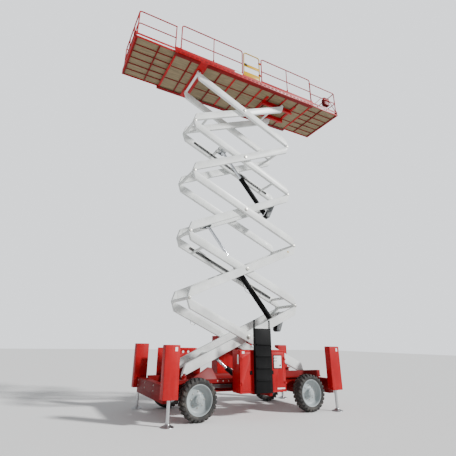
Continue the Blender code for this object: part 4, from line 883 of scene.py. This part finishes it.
# %% Frame and its bolts
weldment = Form(packed("chassis_frame", 0.004))
weldment.piece("chassis_weldment", "chassis", DARK_RED_AND_SHADE, "chassis_paint", ["chassis_frame"])
RAIL_OUT, RAIL_TOP = 0.745, 0.8455
WHEEL_X, WHEEL_R, TYRE_IN, TYRE_OUT = 1.677, 0.460, 0.856, 1.146

def bolt(x, y, z, axis, radius=0.010):
    """A hexagon head on a washer, standing out along an axis."""
    out = Vector(axis)
    start = Vector((x, y, z)) - out * 0.002
    return [bar(start, start + out * 0.004, radius * 1.7, 20, 0.0008),
            bar(start, start + out * 0.013, radius, 6, 0.001)]

form = Form()
for side in (-1, 1):
    for x in (-2.28, -2.16, -1.02, -0.86, -0.70, 0.92, 1.00):
        for part in bolt(x, side * (RAIL_OUT - 0.001), RAIL_TOP - 0.045, (0, side, 0)):
            form.add(part)
    for end in (-1, 1):
        for y in (0.35, 0.95):
            for z in (0.60, 0.72):
                for part in bolt(end * (2.4675 + 0.09), side * y, z, (end, 0, 0), 0.012):
                    form.add(part)
form.piece("frame_bolts", "chassis", ZINC, "bright_steel")
print("faces in the bolts", made["frame_bolts"])

# %% Rounded axles
def axle_form(x, steered):
    form = Form(packed(f"{'steering' if steered else 'rear'}_axle", 0.004))
    y0, y1 = 0.20, 0.42
    casing = turned([(0.0, y0 - 0.05), (0.07, y0 - 0.045), (0.11, y0 - 0.02), (0.137, y0 + 0.02), (0.140, y0 + 0.06),
                     (0.140, y1 - 0.06), (0.128, y1 - 0.015), (0.085, y1 + 0.03), (0.0, y1 + 0.035)], 40)
    form.add(casing, Matrix.Translation((x, 0, WHEEL_R)))
    for side in (-1, 1):
        form.add(across(x, WHEEL_R, (side * 0.46, side * 0.49), 0.094, 32, 0.004))
        form.add(across(x, WHEEL_R, (side * 0.49, side * 0.505), 0.080, 32, 0.004))
    return form

axle_form(-WHEEL_X, False).piece("rear_axle_housing", "chassis", DARK_RED_AND_SHADE, "chassis_paint", ["rear_axle"])
axle_form(WHEEL_X, True).piece("steering_axle_housing", "chassis", DARK_RED_AND_SHADE, "chassis_paint", ["steering_axle"])

print("axles at x", -WHEEL_X, "and", WHEEL_X)

# %% Steering knuckles
KINGPIN_Y = 0.740
for side, name in ((-1, "near"), (1, "far")):
    y = side * KINGPIN_Y
    form = Form(packed(f"{name}_steering_knuckle", 0.003))
    form.add(bar((WHEEL_X, y, WHEEL_R - 0.056), (WHEEL_X, y, WHEEL_R + 0.056), 0.0462, 32, 0.004))
    form.add(across(WHEEL_X, WHEEL_R, (side * 0.80, side * 1.005), 0.0449, 32))
    body = f"{name}_steering_knuckle"
    form.piece(f"{name}_knuckle_forging", body, IRON, "engine_iron", [body])
print("kingpins at y", KINGPIN_Y)

# %% [markdown]
# ## Wheels
# A rough-terrain tyre is a round carcass with a deep chevron tread. The carcass is turned from its section. A
# lug is a block with tapered sides, and the same few faces go round the tyre in two staggered rows that wrap on
# to the shoulder. The rim is turned too: a flange, a deep dish and a hub, with nuts and bolts on them.

# %% Tread
def tread_lug(angle, side, half, base, tip):
    """One block of the tread: wide at its foot, leaning across the tyre, wrapped over the shoulder."""
    shape = bmesh.new()
    bmesh.ops.create_cube(shape, size=1)
    for vert in shape.verts:
        u, v, w = (vert.co.x > 0, vert.co.y > 0, vert.co.z > 0)
        along = (0.034 if not w else 0.029) * (1 if u else -1)
        y = (0.004 if not v else half - (0.012 if w else 0.001))
        lean = 0.052 * (y / half)
        radius = (tip if w else base) - (0.012 if v else 0.0)
        vert.co = (along + lean, side * y, radius)
    round_edges(shape, shape.edges, 0.003, 1)
    if side < 0:
        bmesh.ops.reverse_faces(shape, faces=shape.faces)
    shape.transform(Matrix.Rotation(angle, 4, "Y"))
    return shape

LUGS = 26
print("a lug every", round(360 / LUGS, 1), "degrees on each side")

# %% Tyre
def tyre_form():
    half = (TYRE_OUT - TYRE_IN) / 2
    base, tip, rim_r = WHEEL_R - 0.026, WHEEL_R - 0.004, 0.331
    section = [(rim_r, -half + 0.030), (rim_r + 0.010, -half + 0.014), (rim_r + 0.035, -half + 0.004),
               (rim_r + 0.060, -half), (base - 0.030, -half + 0.006), (base - 0.016, -half + 0.022),
               (base, -half + 0.055), (base + 0.003, 0), (base, half - 0.055), (base - 0.016, half - 0.022),
               (base - 0.030, half - 0.006), (rim_r + 0.060, half), (rim_r + 0.035, half - 0.004),
               (rim_r + 0.010, half - 0.014), (rim_r, half - 0.030)]
    form = Form(turned(section, 72))
    for ring in (rim_r + 0.044, rim_r + 0.060):
        for side in (-1, 1):
            form.add(turned([(ring - 0.003, side * (half - 0.004)), (ring, side * (half + 0.002)),
                             (ring + 0.003, side * (half - 0.004))], 72))
    for index in range(LUGS):
        for side in (-1, 1):
            angle = 2 * math.pi * (index + (0.5 if side > 0 else 0)) / LUGS
            form.add(tread_lug(angle, side, half, base - 0.006, tip))
            shoulder = (side * (half - 0.022), side * (half - 0.001))
            nub = block((-0.028, 0.028), shoulder, (base - 0.046, base - 0.010), 0.003, 1)
            form.add(nub, Matrix.Rotation(angle + 0.13, 4, "Y"))
    return form

print("tyre", 2 * WHEEL_R, "across")

# %% Rim
RIM_HALF = (TYRE_OUT - TYRE_IN) / 2 - 0.022

def rim_form(half):
    section = [(0.326, -half), (0.332, -half + 0.006), (0.332, half - 0.006), (0.327, half), (0.316, half - 0.001),
               (0.306, half - 0.014), (0.300, half - 0.050), (0.292, half - 0.086), (0.268, half - 0.112),
               (0.225, half - 0.124), (0.165, half - 0.124), (0.140, half - 0.116), (0.112, half - 0.100),
               (0.098, half - 0.060), (0.090, half - 0.026), (0.078, half - 0.018), (0.058, half - 0.015),
               (0.054, half - 0.006), (0.0, half - 0.004), (0.0, half - 0.066), (0.0462, half - 0.066),
               (0.0462, -half + 0.02), (0.09, -half + 0.02), (0.10, half - 0.136), (0.225, half - 0.136),
               (0.272, half - 0.124), (0.292, -half + 0.03), (0.306, -half)]
    return Form(turned(section, 64))

def wheel_bolts(half):
    form = Form()
    for index in range(8):
        angle = 2 * math.pi * index / 8
        x, z = 0.168 * math.cos(angle), 0.168 * math.sin(angle)
        form.add(across(x, z, (half - 0.126, half - 0.121), 0.018, 20, 0.001))
        form.add(across(x, z, (half - 0.126, half - 0.103), 0.0115, 6, 0.001))
        form.add(across(x, z, (half - 0.106, half - 0.092), 0.0065, 12, 0.001))
    for index in range(5):
        angle = 2 * math.pi * (index + 0.3) / 5
        x, z = 0.070 * math.cos(angle), 0.070 * math.sin(angle)
        form.add(across(x, z, (half - 0.020, half - 0.008), 0.007, 6, 0.001))
    return form

print("rim", round(2 * RIM_HALF, 3), "wide")

# %% Four wheels
for side, side_name in ((-1, "near"), (1, "far")):
    for x, end in ((-WHEEL_X, "rear"), (WHEEL_X, "front")):
        name = f"{side_name}_{end}"
        turn = Matrix.Rotation(math.pi if side < 0 else 0, 4, "Z")
        place = Matrix.Translation((x, side * (TYRE_IN + TYRE_OUT) / 2, WHEEL_R)) @ turn
        tyre = tyre_form(); tyre.shape.transform(place)
        tyre.piece(f"{name}_lugged_tyre", f"{name}_wheel", TYRE, "tyre_rubber", [f"{name}_tyre"])
        rim = rim_form(RIM_HALF); rim.shape.transform(place)
        rim.piece(f"{name}_dished_rim", f"{name}_wheel", GREY, "rim_paint", [f"{name}_rim"])
        nuts = wheel_bolts(RIM_HALF); nuts.shape.transform(place)
        nuts.piece(f"{name}_wheel_nuts", f"{name}_wheel", ZINC, "bright_steel")
print("tyre faces", made["near_rear_lugged_tyre"])

# %% [markdown]
# ## Outriggers
# Each jack stands in a tall folded box, with a lid on its top, a seam round it near each end, a collar where the
# leg comes out, and a blank label. The leg is ground steel and its foot is a pressed dish.

# %% Outrigger box
JACK_X, JACK_Y, BOX_HALF, BOX_Z, LEG_R = 2.4675, 1.2035, (0.18, 0.10), (0.52, 1.63), 0.039

def jack_box(x, y):
    form = Form()
    shell = block((x - BOX_HALF[0], x + BOX_HALF[0]), (y - BOX_HALF[1], y + BOX_HALF[1]), BOX_Z, 0.007, 3)
    form.add(cut(shell, bar((x, y, BOX_Z[0] - 0.01), (x, y, BOX_Z[1] - 0.06), LEG_R + 0.002, 40)))
    lip = block((x - BOX_HALF[0] + 0.012, x + BOX_HALF[0] - 0.012), (y - BOX_HALF[1] + 0.012, y + BOX_HALF[1] - 0.012),
                (BOX_Z[1] - 0.002, BOX_Z[1] + 0.006), 0.003)
    form.add(lip)
    wide, deep = BOX_HALF[0] + 0.001, BOX_HALF[1] + 0.001
    for z in (BOX_Z[0] + 0.07, BOX_Z[1] - 0.07):
        form.add(block((x - wide, x + wide), (y - deep, y + deep), (z - 0.0015, z + 0.0015), 0.0007, 1))
    collar = turned([(LEG_R + 0.002, -0.012), (LEG_R + 0.022, -0.010), (LEG_R + 0.030, 0.002), (LEG_R + 0.002, 0.002)],
                    40)
    collar.transform(Matrix.Translation((x, y, BOX_Z[0])) @ Matrix.Rotation(math.pi / 2, 4, "X"))
    form.add(collar)
    return form

print("jack box", round(BOX_Z[1] - BOX_Z[0], 3), "tall")

# %% Jack leg, and the four outriggers
def jack_form(x, y):
    """The leg and its dished foot, turned about an upright line."""
    top = BOX_Z[0] + 0.55
    section = [(0.0, 0.002), (0.146, 0.002), (0.150, 0.006), (0.148, 0.012), (0.136, 0.020), (0.118, 0.024),
               (0.095, 0.034), (0.070, 0.050), (0.054, 0.058), (0.050, 0.068), (LEG_R + 0.003, 0.074), (LEG_R, 0.078),
               (LEG_R, top - 0.004), (LEG_R - 0.004, top), (0.0, top)]
    shape = turned(section, 48)
    shape.transform(Matrix.Translation((x, y, 0)) @ Matrix.Rotation(math.pi / 2, 4, "X"))
    return Form(shape)

for side, side_name in ((-1, "near"), (1, "far")):
    for end, end_name in ((-1, "left"), (1, "right")):
        name, x, y = f"{side_name}_{end_name}", end * JACK_X, side * JACK_Y
        jack_box(x, y).piece(f"{name}_jack_box", "chassis", RED, "red_paint", [f"{name}_outrigger"])
        jack_form(x, y).piece(f"{name}_jack_plunger", f"{name}_jack_leg", STEEL, "bright_steel", [f"{name}_jack_leg"])
        face = side * (JACK_Y + BOX_HALF[1])
        skin = (face - side * 0.001, face + side * 0.0012)
        tag = Form(block((x + 0.055, x + 0.115), skin, (1.505, 1.590), 0.0005, 1))
        tag.piece(f"{name}_jack_blank_label", "chassis", LABEL, "arm_paint")
print("outriggers done", len(made))

# %% [markdown]
# ## Side boxes, doors and ladder
# The near box holds the batteries and the ground controls, the far one the engine. Sheet-metal doors get folded
# edges, a pressed field and black latches. The ladder hangs in front as a black channel with folded treads.

# %% Boxes and doors
SIDE_OUT, SIDE_LOW, SIDE_TOP, HOOD_TOP = 1.150, 0.540, 1.530, 1.880
for side_name, side in (("near", -1), ("far", 1)):
    Form(packed(f"{side_name}_side_box", 0.006, 3)).piece(f"{side_name}_box_shell", "chassis", RED, "red_paint",
                                                          [f"{side_name}_side_box"])
DOORS = (("near_left_door", -1, (-0.57, -0.23), SIDE_TOP, -0.285),
         ("near_right_door", -1, (0.33, 0.77), SIDE_TOP, 0.372),
         ("far_door", 1, (-0.21, 0.97), HOOD_TOP, 0.88))
for name, side, span, top_z, latch_x in DOORS:
    form = Form(packed(name, 0.004))
    x0, x1, y0 = span[0] + 0.045, span[1] - 0.045, side * SIDE_OUT
    z0, z1 = SIDE_LOW + 0.10, top_z - 0.10
    for x, z in (((x0, x1), (z0, z0 + 0.008)), ((x0, x1), (z1 - 0.008, z1)),
                 ((x0, x0 + 0.008), (z0, z1)), ((x1 - 0.008, x1), (z0, z1))):
        form.add(block(x, (y0 - side * 0.002, y0 + side * 0.0025), z, 0.001, 1))
    form.piece(f"{name}_panel", name, RED, "red_paint", [name])
    x, z = latch_x, 1.0 if side < 0 else 1.2
    latch = Form(
        block((x - 0.035, x + 0.035), (y0 - side * 0.002, y0 + side * 0.010), (z - 0.045, z + 0.045), 0.006, 3),
        block((x - 0.022, x + 0.022), (y0 + side * 0.008, y0 + side * 0.022), (z - 0.030, z + 0.006), 0.006, 3),
        bar((x, y0 + side * 0.008, z + 0.024), (x, y0 + side * 0.016, z + 0.024), 0.009, 20, 0.002))
    latch.piece(f"{name}_latch", name, BLACK, "black_paint")
print("doors", len(DOORS))

# %% Louvres and blank labels
form = Form(block((-0.6025, -0.599), (-1.065, -1.005), (1.20, 1.42), 0.0008, 1))
form.piece("near_box_blank_label", "chassis", LABEL, "arm_paint")
form = Form()
LOUVRES = 12
for step in range(LOUVRES):
    low = 1.32 + 0.035 * step
    for x in (0.06, 0.38, 0.70):
        form.add(block((x - 0.12, x + 0.12), (SIDE_OUT - 0.001, SIDE_OUT + 0.006), (low, low + 0.012), 0.002, 1))
form.piece("engine_door_louvres", "far_door", BLACK, "black_paint")
for side_name, x, z in (("left", (-0.545, -0.475), (1.445, 1.500)), ("right", (0.52, 0.76), (0.600, 0.632))):
    tag = Form(block(x, (-SIDE_OUT - 0.0015, -SIDE_OUT + 0.001), z, 0.0005, 1))
    tag.piece(f"{side_name}_door_blank_label", f"near_{side_name}_door", LABEL, "arm_paint")
print("rows of louvres", LOUVRES)

# %% Ground control panel
frame_x, frame_z, y = (0.415, 0.680), (1.085, 1.405), -SIDE_OUT
form = Form(block(frame_x, (y - 0.012, y + 0.001), frame_z, 0.004))
form.piece("ground_control_frame", "near_right_door", BLACK, "black_paint")
panel_x, panel_z = ((span[0] + 0.014, span[1] - 0.014) for span in (frame_x, frame_z))
form = Form(block(panel_x, (y - 0.0145, y - 0.010), panel_z, 0.001))
form.piece("ground_control_blank_panel", "near_right_door", LABEL, "arm_paint")
form = Form()
for x, z in ((0.45, 1.34), (0.50, 1.34), (0.45, 1.27), (0.50, 1.27)):
    form.add(bar((x, y - 0.013, z), (x, y - 0.028, z), 0.011, 20, 0.003))
form.add(bar((0.62, y - 0.013, 1.16), (0.62, y - 0.034, 1.16), 0.018, 24, 0.005))
form.piece("ground_control_knobs", "near_right_door", BLACK, "black_paint")
print("panel", round(frame_x[1] - frame_x[0], 3), "wide")

# %% Ladder
LADDER_X, LADDER_Z, RUNG_STEP, LOOP_Z = (-0.20, 0.30), (0.54, 2.06), 0.28, (2.00, 2.26)
front, back = -(SIDE_OUT + 0.10), -(SIDE_OUT + 0.0003)
left, right = LADDER_X
form = Form(packed("access_ladder", 0.002))
for x in (left + 0.0125, right - 0.0125):
    y0, y1 = back - 0.02, front + 0.03
    loop = bent([(x, y0, LOOP_Z[0]), (x, y0, LOOP_Z[1]), (x, y1, LOOP_Z[1]), (x, y1, LOOP_Z[0])], 0.03, 8)
    form.add(swept(loop, 0.0115, 16))
for index in range(1, int((LADDER_Z[1] - LADDER_Z[0]) / RUNG_STEP)):
    z = LADDER_Z[0] + RUNG_STEP * index
    form.add(block((left + 0.028, right - 0.028), (front - 0.026, front + 0.004), (z - 0.004, z + 0.0245), 0.003))
    for step in range(11):
        x = left + 0.055 + step * 0.039
        y = front - 0.012
        form.add(bar((x, y, z + 0.022), (x, y, z + 0.030), 0.009, 12, 0.002, end_radius=0.006))
form.piece("black_ladder", "chassis", BLACK, "black_paint", ["access_ladder"])
print("boxes done", len(made))

# %% [markdown]
# ## Far panel, engine, valves and hoses
# Behind the frame stands a red panel with two lifting holes and a pale blanking disc. On the near rail, behind
# the front wheel, is a bank of drive valves with its hoses. Every hose is clipped at both ends to one part, so it
# rides with that part and needs no slack.

# %% Far side and engine
form = Form(packed("far_side_panel", 0.0025))
for x in (-1.37, -1.21):
    ring = turned([(0.036, 0.754), (0.046, 0.754), (0.048, 0.7565), (0.046, 0.759), (0.036, 0.759)], 32)
    form.add(ring, Matrix.Translation((x, 0, 1.43)))
form.piece("far_panel_plate", "chassis", RED, "red_paint", ["far_side_panel"])
disc = Form(across(-0.985, 1.40, (0.738, 0.7455), 0.055, 36, 0.002))
disc.piece("far_panel_disc", "chassis", LABEL, "arm_paint")
form = Form(packed("engine_block", 0.012, 3))
for step in range(7):
    form.add(block((0.0 + 0.11 * step, 0.015 + 0.11 * step), (0.786, 1.098), (0.75, 1.17), 0.004))
form.piece("engine_casting", "chassis", IRON, "engine_iron", ["engine_block"])
print("far side done", len(made))

# %% Valves and the hoses on the chassis
form = Form()
for step in range(4):
    x = 0.8825 + 0.055 * step
    form.add(block((x - 0.0225, x + 0.0225), (-0.80, -0.748), (0.60, 0.70), 0.006, 2))
    form.add(bar((x, -0.775, 0.69), (x, -0.775, 0.735), 0.014, 20, 0.003))
form.piece("drive_valves", "chassis", BLACK, "black_paint")
form = Form()
for step in range(3):
    z, x = 0.66 + 0.028 * step, 1.06 - 0.055 * step
    form.add(swept([(-1.30, -0.757, z), (-0.62, -0.757, z)], 0.010, 12))
    drop = [(x, -0.774, 0.61), (x, -0.774, 0.545 - 0.012 * step), (1.10, -0.758, 0.52 - 0.02 * step),
            (1.13, -0.60, 0.50)]
    form.add(swept(bent(drop, 0.012), 0.0095, 12))
form.piece("chassis_hoses", "chassis", HOSE, "black_paint")
print("faces in the chassis hoses", made["chassis_hoses"])

# %% Hoses clipped to the arms
def arm_hose(name, stage, rising, inner, runs, bend, finish, radius):
    """Hoses clipped along one arm: straight runs by the tube, and loops that hang under it between clips."""
    form = Form()
    for points in runs:
        form.add(swept(bent(points, bend, 8), radius, 12))
    form.shape.transform(arm_place(stage, rising))
    kind = "inner" if inner else "outer"
    form.piece(name, f"stage_{stage}_{kind}_arms", finish, "black_paint")

near = -(INNER_Y - TUBE_WIDTH / 2 - 0.016)
for stage, rising in ((1, True), (2, False), (3, True), (4, False)):
    runs = [[(-1.66, near, v), (1.62, near, v)] for v in (0.045, 0.015, -0.015)]
    arm_hose(f"stage_{stage}_clipped_hoses", stage, rising, True, runs, 0.01, HOSE, 0.010)
print("hose runs in four stages, beside y", round(near, 3))

# %% Steel loops and pale hoses under the arms
loops = [[(u, -OUTER_Y, -0.112), (u + 0.02, -OUTER_Y, -0.185), (u + 0.15, -OUTER_Y, -0.185),
          (u + 0.17, -OUTER_Y, -0.112)] for u in (-1.52, -1.30, 1.15)]
arm_hose("stage_1_steel_loops", 1, False, False, loops, 0.035, ZINC, 0.008)
long_run = [(0.15, near, -0.02), (0.25, near, -0.30), (0.75, near, -0.33), (1.05, near, -0.12), (1.25, near, 0.01)]
arm_hose("stage_3_pale_hose", 3, True, True, [long_run], 0.12, PALE_HOSE, 0.012)
short_run = [(-1.3, near, -0.02), (-1.15, near, -0.22), (-0.7, near, -0.24), (-0.5, near, 0.0)]
arm_hose("stage_2_pale_hose", 2, False, True, [short_run], 0.10, PALE_HOSE, 0.011)
print("loops under the stage 1 arms", len(loops))

# %% Yellow grease marks
for stage, rising, kind, middle, u in ((2, True, "outer", OUTER_Y, 1.72), (4, False, "inner", INNER_Y, 1.60)):
    y = -(middle + TUBE_WIDTH / 2)
    form = Form(across(u, 0.02, (y - 0.0025, y + 0.001), 0.028, 28, 0.0005))
    form.shape.transform(arm_place(stage, rising))
    form.piece(f"stage_{stage}_grease_dot", f"stage_{stage}_{kind}_arms", YELLOW, "gate_paint")
print("all pieces", len(made))

# %% [markdown]
# ## Viewpoint
# Someone stands near the left front corner and looks up at the deck. The camera is at eye height, and its tilt
# makes the uprights lean together. A small lens shift frames the machine.

# %% Camera
def look(position, yaw, pitch, roll):
    """A camera's matrix from its heading (from +Y toward +X), its tilt up and its roll."""
    ahead = Vector((math.sin(yaw) * math.cos(pitch), math.cos(yaw) * math.cos(pitch), math.sin(pitch)))
    right = Vector((math.cos(yaw), -math.sin(yaw), 0))
    up = right.cross(ahead)
    turn = Matrix((right * math.cos(roll) + up * math.sin(roll), up * math.cos(roll) - right * math.sin(roll),
                   -ahead)).transposed()
    return Matrix.Translation(position) @ turn.to_4x4()

camera = bpy.data.objects.new("camera", bpy.data.cameras.new("camera"))
bpy.context.scene.collection.objects.link(camera)
EYE, HEADING, TILT, ROLL = (-5.6252, -9.2612, 1.7446), 0.4744, 0.3758, 0.0169
camera.matrix_world = look(EYE, HEADING, TILT, ROLL)
camera.data.lens = 27.12
camera.data.shift_x, camera.data.shift_y = 0.0256, -0.0505
camera.data.clip_end = 200
bpy.context.scene.camera = camera
print("eye height", EYE[2])

# %% [markdown]
# ## Studio light and floor
# A pale floor and an even sky stand for the paper of a studio. The floor throws light up on the underside of the
# deck, and one soft lamp from the right gives the shapes a lit side and a shaded side. The backdrop itself shows
# brighter than the light it gives, as white paper does behind a shaded machine.

# %% Light
world = bpy.data.worlds.new("studio")
world.use_nodes = True
FILL, PAPER = 0.45, 1.1
tree = world.node_tree
sky, rays, strength = tree.nodes["Background"], tree.nodes.new("ShaderNodeLightPath"), tree.nodes.new("ShaderNodeMath")
sky.inputs["Color"].default_value = (0.93, 0.96, 1.0, 1)
strength.operation = "MULTIPLY_ADD"
strength.inputs[1].default_value, strength.inputs[2].default_value = PAPER, FILL
tree.links.new(rays.outputs["Is Camera Ray"], strength.inputs[0])
tree.links.new(strength.outputs[0], sky.inputs["Strength"])
bpy.context.scene.world = world
sun = bpy.data.objects.new("sun", bpy.data.lights.new("sun", "SUN"))
bpy.context.scene.collection.objects.link(sun)
sun.matrix_world = look((0, 0, 12), -0.78, -0.52, 0)
sun.data.energy, sun.data.angle = 5.4, 0.10
print("lamp", sun.data.energy, "sky", FILL)

# %% Floor
shape = bmesh.new()
bmesh.ops.create_grid(shape, x_segments=1, y_segments=1, size=60)
mesh = bpy.data.meshes.new("floor")
shape.to_mesh(mesh); shape.free()
floor = bpy.data.objects.new("floor", mesh)
bpy.context.scene.collection.objects.link(floor)
paper = Finish("studio_paper", Base_Color=(0.86, 0.86, 0.85, 1), Roughness=0.9)
mesh.materials.append(paper.feed(Normal=paper.bump(paper.noise(3, 2), 0.0005, 0.1)))
floor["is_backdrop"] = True
print("floor", [round(size) for size in floor.dimensions])

# %% Finish
print("pieces", len(made), "faces", sum(made.values()))
low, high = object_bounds()
